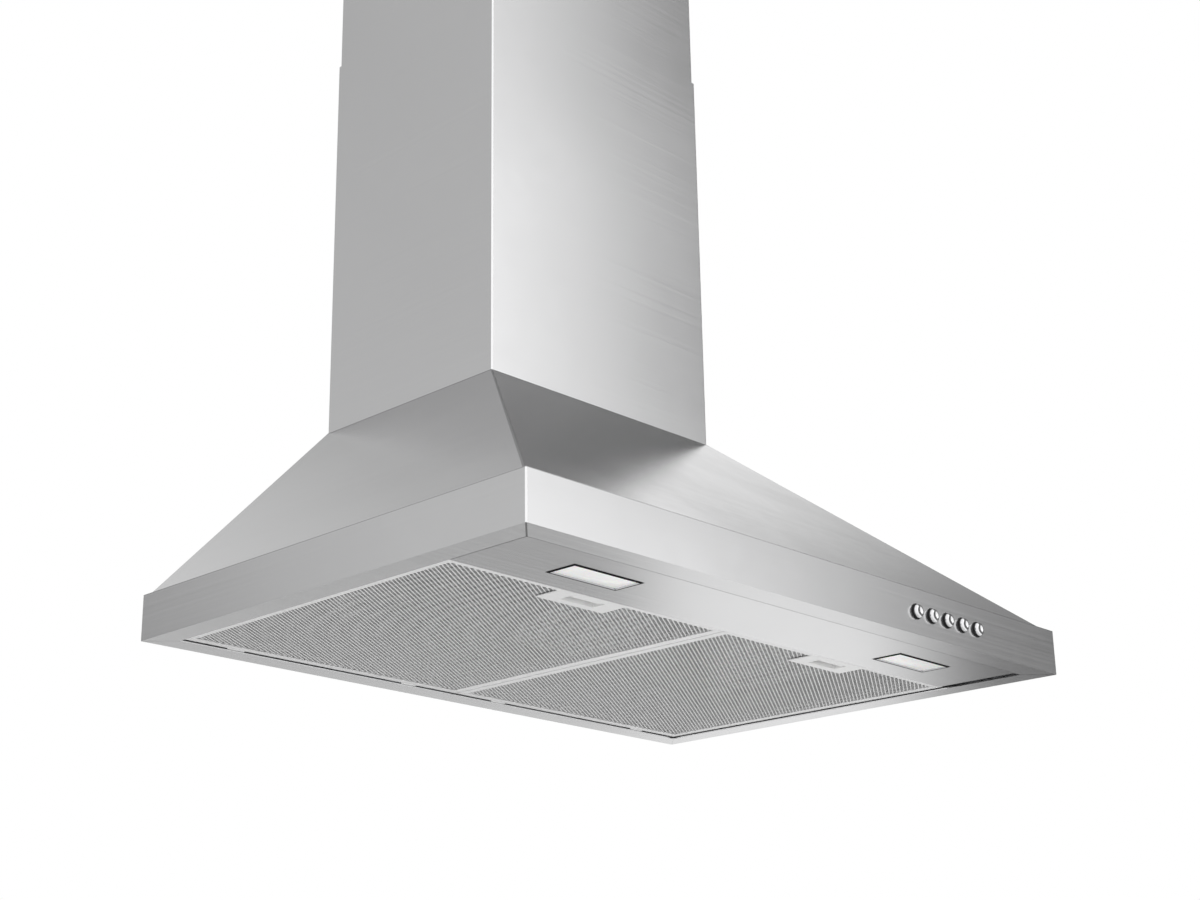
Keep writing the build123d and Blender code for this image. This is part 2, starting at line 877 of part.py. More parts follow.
def motor_body():
    """The motor inside the wheel's right half, on the bracket's inner side."""
    body = rod_x(motor_start, scroll_face, axis_y, axis_z, motor_radius)
    rims = body.edges().filter_by(GeomType.CIRCLE).sort_by(Axis.X)[0]
    body = fillet(rims, motor_round)
    return body - rod_x(
        motor_start - overrun, half_scroll, axis_y, axis_z, shaft_radius + shaft_clearance)


def arm_angles():
    """The motor bracket's arms, evenly spread."""
    return [first_arm_angle + 360 / bracket_arms * count for count in range(bracket_arms)]


def bracket_screw_place(angle):
    """The bracket's screws stand in the middle of each arm's foot on the side plate."""
    radius = inlet_radius + inlet_lip_wall + arm_overlap / 2
    return axis_y + radius * cos(angle * pi / 180), axis_z + radius * sin(angle * pi / 180)


def bracket_screw_shank(angle, x0, x1):
    """The shank of one bracket screw, also the hole that it takes."""
    y, z = bracket_screw_place(angle)
    return rod_x(x0, x1, y, z, bracket_screw_radius)


def motor_bracket():
    """A spider on the right side plate that carries the motor."""
    start = scroll_face
    end = scroll_face + arm_thick
    reach = inlet_radius + inlet_lip_wall + arm_overlap
    spider = rod_x(start, end, axis_y, axis_z, arm_ring_outer)
    arm_length = reach - arm_ring_inner
    for angle in arm_angles():
        arm = Pos(0, arm_ring_inner + arm_length / 2, 0) * Box(arm_thick, arm_length, arm_width)
        spider += Pos((start + end) / 2, axis_y, axis_z) * Rot(angle, 0, 0) * arm
        spider -= bracket_screw_shank(angle, start - overrun, end + overrun)
    spider -= rod_x(start - overrun, end + overrun, axis_y, axis_z, arm_ring_inner)
    return spider


def bracket_screw(angle):
    """A pan head screw holding one arm to the side plate."""
    y, z = bracket_screw_place(angle)
    seat = scroll_face + arm_thick
    head = rod_x(seat, seat + bracket_screw_head, y, z, bracket_screw_head_radius)
    return head + bracket_screw_shank(angle, half_scroll - bracket_screw_tail, seat)


def blower_deck():
    """The plate across the neck that carries the blower below and the duct collar above."""
    left = sheet - half_neck
    near = sheet - neck_front
    far = -neck_back - sheet
    top = deck_floor + deck_lip
    deck = block(left, -left, near, far, deck_floor, top)
    deck -= block(
        left + deck_sheet, -left - deck_sheet, near + deck_sheet, far - deck_sheet,
        deck_floor + deck_sheet, top + overrun,
    )
    deck -= rod_z(0, duct_y, deck_floor - overrun, deck_floor + deck_sheet + overrun,
                  collar_radius - collar_wall)
    deck -= rod_z(gland_x, -gland_y, deck_floor - overrun, deck_floor + deck_sheet + overrun, gland_radius)
    for x, y in deck_screw_places():
        deck -= rod_z(x, y, deck_floor - overrun, deck_floor + deck_sheet + overrun, deck_screw_radius)
    return deck


collar_floor = deck_floor + deck_sheet
collar_top = collar_floor + collar_height
damper_z = collar_floor + damper_height
knuckle_radius = damper_rod_radius + knuckle_clearance + knuckle_wall


def deck_screw_places():
    """Screws round the collar's flange, clear of the damper's line."""
    return [
        (
            deck_screw_circle * cos(2 * pi * (count + 0.5) / deck_screw_count),
            duct_y + deck_screw_circle * sin(2 * pi * (count + 0.5) / deck_screw_count),
        )
        for count in range(deck_screw_count)
    ]


def collar_flange_ring():
    """The flat ring under the collar's foot, screwed to the deck."""
    flange_top = collar_floor + collar_flange
    inner = collar_radius - collar_wall
    ring = rod_z(0, duct_y, collar_floor, flange_top, collar_flange_radius)
    ring -= rod_z(0, duct_y, collar_floor - overrun, flange_top + overrun, inner)
    for x, y in deck_screw_places():
        ring -= rod_z(x, y, collar_floor - overrun, flange_top + overrun, deck_screw_radius)
    return ring


def outlet_collar():
    """The round duct spigot on its flange, with two stops under the damper flaps."""
    inner = collar_radius - collar_wall
    foot = collar_floor + collar_flange
    collar = rod_z(0, duct_y, foot, collar_top, collar_radius)
    collar -= rod_z(0, duct_y, foot - overrun, collar_top + overrun, inner)
    stop_top = damper_z - flap_sheet / 2 - seat_gap
    for side in (-1, 1):
        far = duct_y + side * inner
        near = duct_y + side * (inner - damper_stop_length)
        stop = block(
            -damper_stop_thick, damper_stop_thick, min(near, far), max(near, far),
            stop_top - damper_stop_thick, stop_top,
        )
        collar += stop & rod_z(0, duct_y, foot, collar_top, collar_radius)
    collar -= rod_x(-collar_radius - overrun, collar_radius + overrun, duct_y, damper_z, damper_rod_radius)
    return collar


def damper_rod():
    """The rod across the collar that both flaps swing on."""
    reach = collar_radius - seat_gap
    return rod_x(-reach, reach, duct_y, damper_z, damper_rod_radius)


def damper_flap(side):
    """A half-round flap with two knuckles on the rod; side is -1 to the room, 1 to the wall."""
    flap_radius = collar_radius - collar_wall - flap_rim_gap
    low = damper_z - flap_sheet / 2
    disc = rod_z(0, duct_y, low, low + flap_sheet, flap_radius)
    near = duct_y + side * flap_root
    far = duct_y + side * (flap_radius + overrun)
    flap = disc & block(-flap_radius, flap_radius, min(near, far), max(near, far), low, low + flap_sheet)
    bore_radius = damper_rod_radius + knuckle_clearance
    for share in knuckle_places_share:
        start = share * flap_radius
        if side > 0:
            start += knuckle_shift_share * knuckle_length
        end = start + knuckle_length
        knuckle = rod_x(start, end, duct_y, damper_z, knuckle_radius)
        strap_end = duct_y + side * (flap_root + knuckle_wall)
        knuckle += block(
            start, end, min(duct_y, strap_end), max(duct_y, strap_end), low, low + flap_sheet)
        flap += knuckle - rod_x(start - overrun, end + overrun, duct_y, damper_z, bore_radius)
    return flap


def deck_screw(x, y):
    """A hexagon screw through the collar's flange and the deck."""
    seat = collar_floor + collar_flange
    head = Pos(x, y, seat) * extrude(RegularPolygon(deck_screw_head_radius, 6), deck_screw_head)
    return head + rod_z(x, y, deck_floor - deck_screw_tail, seat, deck_screw_radius)


def terminal_box():
    """An open-fronted box on the rear panel."""
    back = -sheet
    face = back - box_depth
    box = block(box_left, box_left + box_width, face, back, box_floor, box_floor + box_tall)
    return box - block(
        box_left + box_wall, box_left + box_width - box_wall, face - overrun, back - box_wall,
        box_floor + box_wall, box_floor + box_tall - box_wall,
    )


def terminal_box_cover():
    """The box's lid with a shallow rib frame inside."""
    face = -sheet - box_depth
    lid = block(box_left, box_left + box_width, face - box_cover, face, box_floor, box_floor + box_tall)
    inset = box_wall + seat_gap
    rib = block(
        box_left + inset, box_left + box_width - inset, face, face + box_cover,
        box_floor + inset, box_floor + box_tall - inset,
    )
    inner = inset + box_wall
    rib -= block(
        box_left + inner, box_left + box_width - inner, face - overrun, face + box_cover + overrun,
        box_floor + inner, box_floor + box_tall - inner,
    )
    return lid + rib


def terminal_block():
    """The terminal strip on the box's back, with a well for each pole."""
    middle = box_left + box_width / 2
    back = -sheet - box_wall
    bottom = box_floor + (box_tall - block_tall) / 2
    strip = block(
        middle - block_width / 2, middle + block_width / 2, back - block_depth, back,
        bottom, bottom + block_tall,
    )
    step = block_width / block_poles
    for count in range(block_poles):
        x = middle - block_width / 2 + step * (count + 0.5)
        strip -= rod_y(
            x, back - block_depth - overrun, back - block_depth + block_pole_depth,
            bottom + block_tall / 2, block_pole_radius,
        )
    return strip


def cable_gland():
    """The supply inlet: a gland through the deck, with its nut above and its tail below."""
    gland = rod_z(gland_x, -gland_y, deck_floor - gland_tail, collar_floor + gland_height, gland_radius)
    nut = Pos(gland_x, -gland_y, collar_floor) * extrude(RegularPolygon(gland_nut_radius, 6), gland_nut)
    nut += Pos(gland_x, -gland_y, deck_floor - gland_nut) * extrude(
        RegularPolygon(gland_nut_radius, 6), gland_nut)
    bore = rod_z(
        gland_x, -gland_y, deck_floor - gland_tail - overrun, collar_floor + gland_height + overrun,
        gland_bore,
    )
    return gland + nut - bore


def run_capacitor():
    """The motor's run capacitor, upright beside the terminal box."""
    bottom = box_floor
    can = rod_z(capacitor_x, -sheet - capacitor_y, bottom, bottom + capacitor_length, capacitor_radius)
    ends = can.edges().filter_by(GeomType.CIRCLE)
    return fillet(ends, capacitor_round)


def capacitor_clip():
    """A band round the capacitor with a foot on the rear panel."""
    middle = box_floor + capacitor_length / 2
    low = middle - clip_width / 2
    high = middle + clip_width / 2
    y = -sheet - capacitor_y
    foot = block(
        capacitor_x - capacitor_foot, capacitor_x + capacitor_foot, -sheet - clip_sheet, -sheet, low, high)
    neck = block(
        capacitor_x - clip_sheet, capacitor_x + clip_sheet, y + capacitor_radius, -sheet, low, high)
    band = rod_z(capacitor_x, y, low, high, capacitor_radius + clip_sheet)
    return band + neck + foot - rod_z(capacitor_x, y, low - overrun, high + overrun, capacitor_radius)


def lamp_driver():
    """The lamps' supply, screwed flat on the rear panel's left."""
    body = block(
        -driver_x - driver_width / 2, driver_width / 2 - driver_x, -sheet - driver_depth, -sheet,
        driver_height, driver_height + driver_tall,
    )
    return fillet(body.edges().filter_by(Axis.Y), driver_round)


def lead(points):
    """A round lead along straight runs joined by tangent arcs as large as the runs allow."""
    route = [Vector(*point) for point in points]
    runs = [after - before for before, after in zip(route, route[1:])]
    radii = []
    for first, second in zip(runs, runs[1:]):
        turn = first.get_angle(second) * pi / 180
        radii.append(lead_bend_share * min(first.length, second.length) / tan(turn / 2))
    path = FilletPolyline(*route, radius=radii)
    return sweep(Plane(route[0], z_dir=runs[0]) * Circle(lead_radius), path=path)


ledge_z = fascia_height - sheet - lead_radius - lead_gap
ledge_x = half_width - sheet - lead_radius - lead_gap


def mix(first, second, share):
    """A place by its share of the way from the first to the second."""
    return first + (second - first) * share


def motor_lead():
    """From the motor's end to the terminal box's left wall."""
    start_x = scroll_face
    end_y = -sheet - box_depth / 2
    end_z = box_floor + box_tall / 4
    bend_x = (start_x + box_left) / 2
    along, up = motor_lead_shares
    return lead([
        (start_x, axis_y, axis_z),
        (bend_x, axis_y, axis_z),
        (bend_x, mix(axis_y, end_y, along), mix(axis_z, end_z, up)),
        (bend_x, end_y, end_z),
        (box_left, end_y, end_z),
    ])


def ledge_lead(start, side_x, end, shares):
    """A lead that leaves a piece at the front, lies along a side's ledge and ends at the wall.

    Each row of shares is a place across to the side, back to the wall and up to the ledge."""
    points = [start]
    for across, back, up in shares:
        points.append((
            mix(start[0], side_x, across), mix(start[1], 0, back), mix(start[2], ledge_z, up)))
    for across, up in lead_end_shares:
        points.append((mix(side_x, end[0], across), end[1], mix(ledge_z, end[2], up)))
    return lead(points)


def switch_lead():
    """From the switch block along the right side's ledge to the terminal box's right wall."""
    _, right = switch_span()
    start = (
        right - switch_lead_inset,
        switch_standoff + switch_depth - depth,
        button_height + switch_tall / 2 - switch_lead_exit,
    )
    end = (box_left + box_width, -sheet - box_depth / 2, box_floor + box_tall / 4)
    return ledge_lead(start, ledge_x, end, switch_lead_shares)


def lamp_lead():
    """From the left lamp along the left side's ledge to the lamp driver's outer end."""
    hole_x, _ = lamp_hole()
    start = (
        -lamp_offset - hole_x - module_margin, lamp_y, bezel_height + (module_height - fin_height) / 2)
    end = (
        -driver_x - driver_width / 2, -sheet - driver_depth / 2, driver_height + driver_tall / 2)
    return ledge_lead(start, -ledge_x, end, lamp_lead_shares)


def cover(half_x, near, far, bottom, top):
    """A chimney cover: front and two sides, with narrow returns at the wall."""
    outer = block(-half_x, half_x, -near, -far, bottom, top)
    outer = fillet(outer.edges().filter_by(Axis.Z).sort_by(Axis.Y)[:2], bend_radius)
    inner = block(
        cover_sheet - half_x, half_x - cover_sheet, cover_sheet - near, -far - cover_sheet,
        bottom - overrun, top + overrun,
    )
    inner = fillet(inner.edges().filter_by(Axis.Z).sort_by(Axis.Y)[:2], bend_radius - cover_sheet)
    mouth = block(
        cover_return - half_x, half_x - cover_return, -far - cover_sheet - overrun, -far + overrun,
        bottom - overrun, top + overrun,
    )
    return outer - inner - mouth


lower_bottom = slope_top + cover_seam
lower_top = lower_bottom + lower_cover_height
upper_top = lower_top + upper_cover_shown
upper_bottom = upper_top - upper_cover_height
half_upper = half_cover - cover_sheet - cover_gap
upper_near = chimney_depth - cover_sheet - cover_gap
upper_far = cover_sheet + wall_bracket_gap
bracket_top = upper_top - wall_bracket_drop
bracket_bottom = bracket_top - wall_bracket_tall
cover_screw_z = (bracket_top + bracket_bottom) / 2
cover_screw_y = -(wall_bracket_arm + wall_bracket_sheet) / 2


def lower_cover():
    """The lower chimney cover, standing on the canopy's top."""
    return cover(half_cover, chimney_depth, 0, lower_bottom, lower_top)


def upper_cover():
    """The upper chimney cover, notched at the top for its wall bracket."""
    shell = cover(half_upper, upper_near, upper_far, upper_bottom, upper_top)
    shell -= block(
        cover_sheet - half_upper, half_upper - cover_sheet, -upper_far - cover_sheet - overrun, overrun,
        bracket_bottom - cover_notch_margin, upper_top + overrun,
    )
    shell -= rod_x(
        -half_upper - overrun, half_upper + overrun, cover_screw_y, cover_screw_z, cover_screw_radius)
    return shell


def chimney_bracket():
    """A wall plate with two arms that hold the upper cover's sides."""
    half_x = half_upper - cover_sheet - wall_bracket_gap
    plate = block(-half_x, half_x, -wall_bracket_arm, 0, bracket_bottom, bracket_top)
    plate -= block(
        wall_bracket_sheet - half_x, half_x - wall_bracket_sheet,
        -wall_bracket_arm - overrun, -wall_bracket_sheet,
        bracket_bottom - overrun, bracket_top + overrun,
    )
    for side in (-1, 1):
        plate -= rod_y(
            side * wall_bracket_hole_spacing / 2, -wall_bracket_sheet - overrun, overrun,
            cover_screw_z, wall_bracket_hole_radius,
        )
    plate -= rod_x(-half_upper, half_upper, cover_screw_y, cover_screw_z, cover_screw_radius)
    return plate


def cover_screw(side):
    """A side screw through the upper cover into the bracket's arm."""
    tip = half_upper - cover_sheet - wall_bracket_gap - wall_bracket_sheet - cover_screw_tail
    seat = half_upper
    head_end = half_upper + cover_screw_head
    shank = rod_x(tip, seat, cover_screw_y, cover_screw_z, cover_screw_radius)
    head = rod_x(seat, head_end, cover_screw_y, cover_screw_z, cover_screw_head_radius)
    screw = shank + head
    return screw if side > 0 else opposite(screw)


def write_canopy():
    """The canopy with its light panel and lamps."""
    write("canopy_shell", canopy_shell())
    write("rear_panel", rear_panel())
    write("hanger_doublers", hanger_doubler(-1), hanger_doubler(1))
    write("light_panel", light_panel())
    write("panel_screws", *[panel_screw(place) for place in panel_screw_places()])
    for side, word in ((-1, "left"), (1, "right")):
        write("light_frame_" + word, light_frame(side))
        write("light_lens_" + word, light_lens(side))
        write("light_module_" + word, light_module(side))


def write_controls():
    """The push buttons and their switch block."""
    for name, place in zip(button_names, button_places()):
        write("button_" + name, button(place))
    write("button_guides", *[guide(place) for place in button_places()])
    write("switch_body", switch_body())
    write("switch_bracket", switch_bracket())


def write_filters():
    """The two mesh filters, mirror images of each other."""
    pieces = {
        "frame": filter_frame(),
        "net": filter_net(),
        "pleat": filter_pleat(),
        "handle": filter_handle(),
        "latch": filter_latch(),
    }
    for word, piece in pieces.items():
        write("filter_right_" + word, piece)
        write("filter_left_" + word, opposite(piece))


def write_blower():
    """The scroll, motor and wheel, with the deck, collar and damper above."""
    write("blower_wrap", blower_wrap())
    write("blower_side_left", blower_side(-1))
    write("blower_side_right", blower_side(1))
    write("fan_wheel", *fan_wheel())
    write("fan_blades", *fan_blades())
    write("motor_shaft", motor_shaft())
    write("wheel_nut", wheel_nut())
    write("motor_body", motor_body())
    write("motor_bracket", motor_bracket())
    write("motor_bracket_screws", *[bracket_screw(angle) for angle in arm_angles()])
    write("blower_deck", blower_deck())
    write("outlet_collar", outlet_collar())
    write("collar_flange", collar_flange_ring())
    write("deck_screws", *[deck_screw(x, y) for x, y in deck_screw_places()])
    write("damper_rod", damper_rod())
    write("damper_flap_front", damper_flap(-1))
    write("damper_flap_rear", damper_flap(1))


def write_electrics():
    """The supply inlet, terminals, capacitor and lamp driver."""
    write("terminal_box", terminal_box())
    write("terminal_box_cover", terminal_box_cover())
    write("terminal_block", terminal_block())
    write("cable_gland", cable_gland())
    write("run_capacitor", run_capacitor())
    write("capacitor_clip", capacitor_clip())
    write("lamp_driver", lamp_driver())
    write("motor_lead", motor_lead())
    write("switch_lead", switch_lead())
    write("lamp_lead", lamp_lead())


def write_chimney():
    """The two telescoping covers and the upper wall bracket."""
    write("lower_chimney", lower_cover())
    write("upper_chimney", upper_cover())
    write("chimney_bracket", chimney_bracket())
    write("chimney_screws", cover_screw(-1), cover_screw(1))


write_canopy()
write_controls()
write_filters()
write_blower()
write_electrics()
write_chimney()
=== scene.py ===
"""Wall mount range hood: finishes, fine pieces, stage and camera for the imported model.

Metres, in the model's own frame: the origin is the centre of the four wall holes, the room side
lies towards -Y and +X is to the right.
"""

import math

import bmesh
import bpy
from bpy.props import FloatProperty, FloatVectorProperty, IntProperty, PointerProperty
from mathutils import Matrix, Vector


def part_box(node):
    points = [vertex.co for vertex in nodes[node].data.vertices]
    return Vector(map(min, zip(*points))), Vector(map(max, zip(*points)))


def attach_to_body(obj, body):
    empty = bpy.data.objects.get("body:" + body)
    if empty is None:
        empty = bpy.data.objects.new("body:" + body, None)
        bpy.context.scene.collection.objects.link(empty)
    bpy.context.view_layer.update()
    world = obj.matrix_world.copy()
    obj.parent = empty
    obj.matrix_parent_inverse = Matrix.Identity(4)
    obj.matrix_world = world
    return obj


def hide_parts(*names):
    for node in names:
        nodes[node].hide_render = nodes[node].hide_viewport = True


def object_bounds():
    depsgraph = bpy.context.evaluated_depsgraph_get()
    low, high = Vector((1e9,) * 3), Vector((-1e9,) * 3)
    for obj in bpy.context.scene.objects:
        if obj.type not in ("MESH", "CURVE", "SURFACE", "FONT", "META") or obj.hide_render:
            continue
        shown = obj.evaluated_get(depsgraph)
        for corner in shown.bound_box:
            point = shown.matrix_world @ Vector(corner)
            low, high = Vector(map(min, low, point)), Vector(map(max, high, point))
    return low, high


bl_info = {
    "name": "Wall mount range hood",
    "version": (1, 0, 0),
    "blender": (4, 5, 0),
    "location": "View3D > Sidebar > Hood",
    "description": "Builds the finishes and fine pieces of a wall mount range hood",
    "category": "Object",
}

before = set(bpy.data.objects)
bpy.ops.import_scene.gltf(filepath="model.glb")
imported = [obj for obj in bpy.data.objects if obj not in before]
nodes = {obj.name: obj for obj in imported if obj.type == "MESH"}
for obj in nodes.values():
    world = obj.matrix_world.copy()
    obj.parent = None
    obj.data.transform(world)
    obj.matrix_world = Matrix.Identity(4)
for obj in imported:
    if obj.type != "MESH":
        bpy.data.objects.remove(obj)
cad_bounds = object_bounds()

BUTTONS = ("off", "low", "medium", "high", "light")
SIDES = ("left", "right")
FRAME_BOXES = {side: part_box("light_frame_" + side) for side in SIDES}


# Settings

class HoodMetalSettings(bpy.types.PropertyGroup):
    """Colours and grain of the sheet metal."""
    steel: FloatVectorProperty(
        name="Steel", description="Colour of the brushed steel", subtype="COLOR",
        size=3, min=0.0, max=1.0, default=(0.74, 0.74, 0.745))
    steel_roughness: FloatProperty(
        name="Steel roughness", description="Roughness of the brushed steel",
        subtype="FACTOR", min=0.0, max=1.0, default=0.22)
    grain_depth: FloatProperty(
        name="Grain depth", description="How much the brushing varies the steel's tone",
        subtype="FACTOR", min=0.0, max=1.0, default=0.03)
    zinc: FloatVectorProperty(
        name="Zinc", description="Colour of the zinc coated sheet inside", subtype="COLOR",
        size=3, min=0.0, max=1.0, default=(0.60, 0.62, 0.64))
    aluminium: FloatVectorProperty(
        name="Aluminium", description="Colour of the filters' aluminium", subtype="COLOR",
        size=3, min=0.0, max=1.0, default=(0.96, 0.96, 0.96))


class HoodFilterSettings(bpy.types.PropertyGroup):
    """Sizes of the filters' fine mesh."""
    diamond_width: FloatProperty(
        name="Diamond width", description="Width of one gap of the face mesh", unit="LENGTH",
        min=0.002, max=0.02, default=0.0070)
    diamond_depth: FloatProperty(
        name="Diamond depth", description="Depth of one gap of the face mesh", unit="LENGTH",
        min=0.002, max=0.02, default=0.0046)
    strand: FloatProperty(
        name="Strand", description="Width of the mesh strands", unit="LENGTH",
        min=0.0002, max=0.003, default=0.0015)
    strand_height: FloatProperty(
        name="Strand height", description="Height of the mesh strands", unit="LENGTH",
        min=0.0001, max=0.001, default=0.0003)
    inner_scale: FloatProperty(
        name="Inner scale", description="Size of the inner mesh's gaps beside the face mesh's",
        min=1.0, max=4.0, default=1.5)
    fold_pitch: FloatProperty(
        name="Fold pitch", description="Distance between the folds of the inner mesh", unit="LENGTH",
        min=0.005, max=0.05, default=0.0140)


class HoodControlSettings(bpy.types.PropertyGroup):
    """Shape of the push buttons."""
    dish: FloatProperty(
        name="Dish", description="Depth of the hollow in each button's face", unit="LENGTH",
        min=0.0, max=0.002, default=0.0006)
    steps: IntProperty(
        name="Steps", description="Steps round each turned piece", min=12, max=128, default=48)


class HoodStageSettings(bpy.types.PropertyGroup):
    """Floor, lamps and camera."""
    floor_colour: FloatVectorProperty(
        name="Floor", description="Colour of the floor", subtype="COLOR",
        size=3, min=0.0, max=1.0, default=(0.93, 0.93, 0.93))
    floor_lift: FloatProperty(
        name="Floor lift", description="Brightness added to the floor for the camera alone",
        min=0.0, max=1.0, default=0.27)
    floor_drop: FloatProperty(
        name="Floor drop", description="Distance of the floor under the hood", unit="LENGTH",
        min=0.2, max=3.0, default=1.35)
    key_power: FloatProperty(
        name="Key power", description="Power of the large lamp in front", unit="POWER",
        min=0.0, max=2000.0, default=1.6)
    lens: FloatProperty(
        name="Lens", description="Focal length of the camera", unit="CAMERA",
        min=20.0, max=200.0, default=57.55)


# Meshes

def piece_from(name, mesh_data, body, material, replaced=(), smooth=False):
    """Turns a bmesh into a piece that rides on a body and stands for the nodes named."""
    bmesh.ops.remove_doubles(mesh_data, verts=mesh_data.verts, dist=1e-6)
    bmesh.ops.recalc_face_normals(mesh_data, faces=mesh_data.faces)
    mesh = bpy.data.meshes.new(name)
    mesh_data.to_mesh(mesh)
    mesh_data.free()
    piece = bpy.data.objects.new(name, mesh)
    bpy.context.scene.collection.objects.link(piece)
    mesh.materials.append(material)
    if smooth:
        mesh.shade_smooth()
        mesh.set_sharp_from_angle(angle=math.radians(38))
    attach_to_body(piece, body)
    if replaced:
        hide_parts(*replaced)
    return piece


def turned(mesh_data, profile, centre, axis, steps):
    """Spins a profile of (radius, distance along the axis) about the axis."""
    across = axis.orthogonal().normalized()
    verts = [mesh_data.verts.new(centre + across * radius + axis * along) for radius, along in profile]
    edges = [mesh_data.edges.new(pair) for pair in zip(verts, verts[1:])]
    bmesh.ops.spin(
        mesh_data, geom=verts + edges, cent=centre, axis=axis, angle=2 * math.pi,
        steps=steps, use_merge=True, use_duplicate=False)


def softened_block(mesh_data, low, high, radius, segments=3):
    """Adds a block between two corners with every edge rounded."""
    low = Vector(low)
    high = Vector(high)
    made = bmesh.ops.create_cube(mesh_data, size=1.0)["verts"]
    bmesh.ops.scale(mesh_data, vec=high - low, verts=made)
    bmesh.ops.translate(mesh_data, vec=(high + low) / 2, verts=made)
    edges = {edge for vert in made for edge in vert.link_edges}
    bmesh.ops.bevel(
        mesh_data, geom=list(edges), offset=radius, offset_type="OFFSET", segments=segments,
        profile=0.5, affect="EDGES", material=-1, clamp_overlap=True)


# Shader building

def add(tree, kind, fields=None, **inputs):
    """Adds a shader node with its fields and inputs set or linked."""
    made = tree.nodes.new(kind)
    for field, value in (fields or {}).items():
        setattr(made, field, value)
    for label, value in inputs.items():
        attach(tree, value, made.inputs[label.replace("_", " ")])
    return made


def attach(tree, value, socket):
    """Links a socket to another or sets its value."""
    if isinstance(value, bpy.types.NodeSocket):
        tree.links.new(value, socket)
    else:
        socket.default_value = value


def maths(tree, operation, first, second=0.0, third=None):
    """A Math node's result."""
    made = tree.nodes.new("ShaderNodeMath")
    made.operation = operation
    attach(tree, first, made.inputs[0])
    attach(tree, second, made.inputs[1])
    if third is not None:
        attach(tree, third, made.inputs[2])
    return made.outputs[0]


def vector_maths(tree, operation, first, second):
    """A Vector Math node's result: a value for a dot product, else a vector."""
    made = tree.nodes.new("ShaderNodeVectorMath")
    made.operation = operation
    attach(tree, first, made.inputs[0])
    attach(tree, second, made.inputs[1])
    return made.outputs["Value" if operation == "DOT_PRODUCT" else "Vector"]


def blend_colour(tree, factor, first, second):
    """A Mix node's colour result."""
    made = tree.nodes.new("ShaderNodeMix")
    made.data_type = "RGBA"
    attach(tree, factor, made.inputs["Factor"])
    attach(tree, first, made.inputs[6])
    attach(tree, second, made.inputs[7])
    return made.outputs[2]


def remap(tree, value, low, high, to_low, to_high):
    """A Map Range node's result, eased at both ends."""
    made = tree.nodes.new("ShaderNodeMapRange")
    made.interpolation_type = "SMOOTHSTEP"
    for index, given in enumerate((value, low, high, to_low, to_high)):
        attach(tree, given, made.inputs[index])
    return made.outputs[0]


def weighed(tree, share, first, second):
    """The sum of two values, the first at the share given and the second at the rest."""
    return maths(tree, "ADD", maths(tree, "MULTIPLY", first, share),
                 maths(tree, "MULTIPLY", second, 1.0 - share))


def toned(tree, colour, tone):
    """A colour scaled by a tone."""
    made = add(tree, "ShaderNodeVectorMath", {"operation": "SCALE"}, Scale=tone)
    attach(tree, colour, made.inputs[0])
    return made.outputs["Vector"]


def new_group(name, inputs, outputs):
    """A shader node group with named sockets, and its input and output nodes."""
    group = bpy.data.node_groups.new(name, "ShaderNodeTree")
    for label, kind, value in inputs:
        socket = group.interface.new_socket(name=label, in_out="INPUT", socket_type=kind)
        socket.default_value = value
    for label, kind in outputs:
        group.interface.new_socket(name=label, in_out="OUTPUT", socket_type=kind)
    return group, group.nodes.new("NodeGroupInput").outputs, group.nodes.new("NodeGroupOutput").inputs


def use_group(tree, group, **inputs):
    """Places a node group in a material."""
    made = tree.nodes.new("ShaderNodeGroup")
    made.node_tree = group
    for label, value in inputs.items():
        attach(tree, value, made.inputs[label.replace("_", " ")])
    return made.outputs


FLOAT = "NodeSocketFloat"
COLOUR = "NodeSocketColor"


# How often the brushing's pattern changes in a metre, along the strokes and across them
GRAIN_ALONG = 1.3
GRAIN_ACROSS = 1700.0
# How far the edges of the zinc's crystals wander
SPANGLE_WANDER = 0.004


def brushed_grain():
    """Level brushing: streaks along the sheet on upright faces and along X on flat ones."""
    group, given, out = new_group(
        "Brushed grain",
        [("Tint", COLOUR, (0.7, 0.7, 0.7, 1.0)), ("Depth", FLOAT, 0.1), ("Roughness", FLOAT, 0.3)],
        [("Color", COLOUR), ("Roughness", FLOAT), ("Height", FLOAT)])
    place = group.nodes.new("ShaderNodeTexCoord").outputs
    up = add(group, "ShaderNodeSeparateXYZ", Vector=place["Normal"]).outputs["Z"]
    flat = remap(group, maths(group, "ABSOLUTE", up), 0.90, 0.97, 0.0, 1.0)
    stretch = blend_colour(
        group, flat, (GRAIN_ALONG, GRAIN_ALONG, GRAIN_ACROSS, 1.0),
        (GRAIN_ALONG, GRAIN_ACROSS, GRAIN_ACROSS, 1.0))
    along = vector_maths(group, "MULTIPLY", place["Object"], stretch)
    fine = add(group, "ShaderNodeTexNoise", Vector=along, Scale=1.0, Detail=4.0, Roughness=0.65)
    wide = add(group, "ShaderNodeTexNoise", Vector=along, Scale=0.14, Detail=3.0, Roughness=0.6)
    streak = weighed(group, 0.62, fine.outputs["Fac"], wide.outputs["Fac"])
    swing = maths(group, "SUBTRACT", streak, 0.5)
    tone = maths(group, "MULTIPLY_ADD", maths(group, "MULTIPLY", swing, given["Depth"]), 4.0, 1.0)
    group.links.new(toned(group, given["Tint"], tone), out["Color"])
    rough = maths(group, "MULTIPLY_ADD", swing, 0.16, given["Roughness"])
    group.links.new(rough, out["Roughness"])
    group.links.new(streak, out["Height"])
    return group


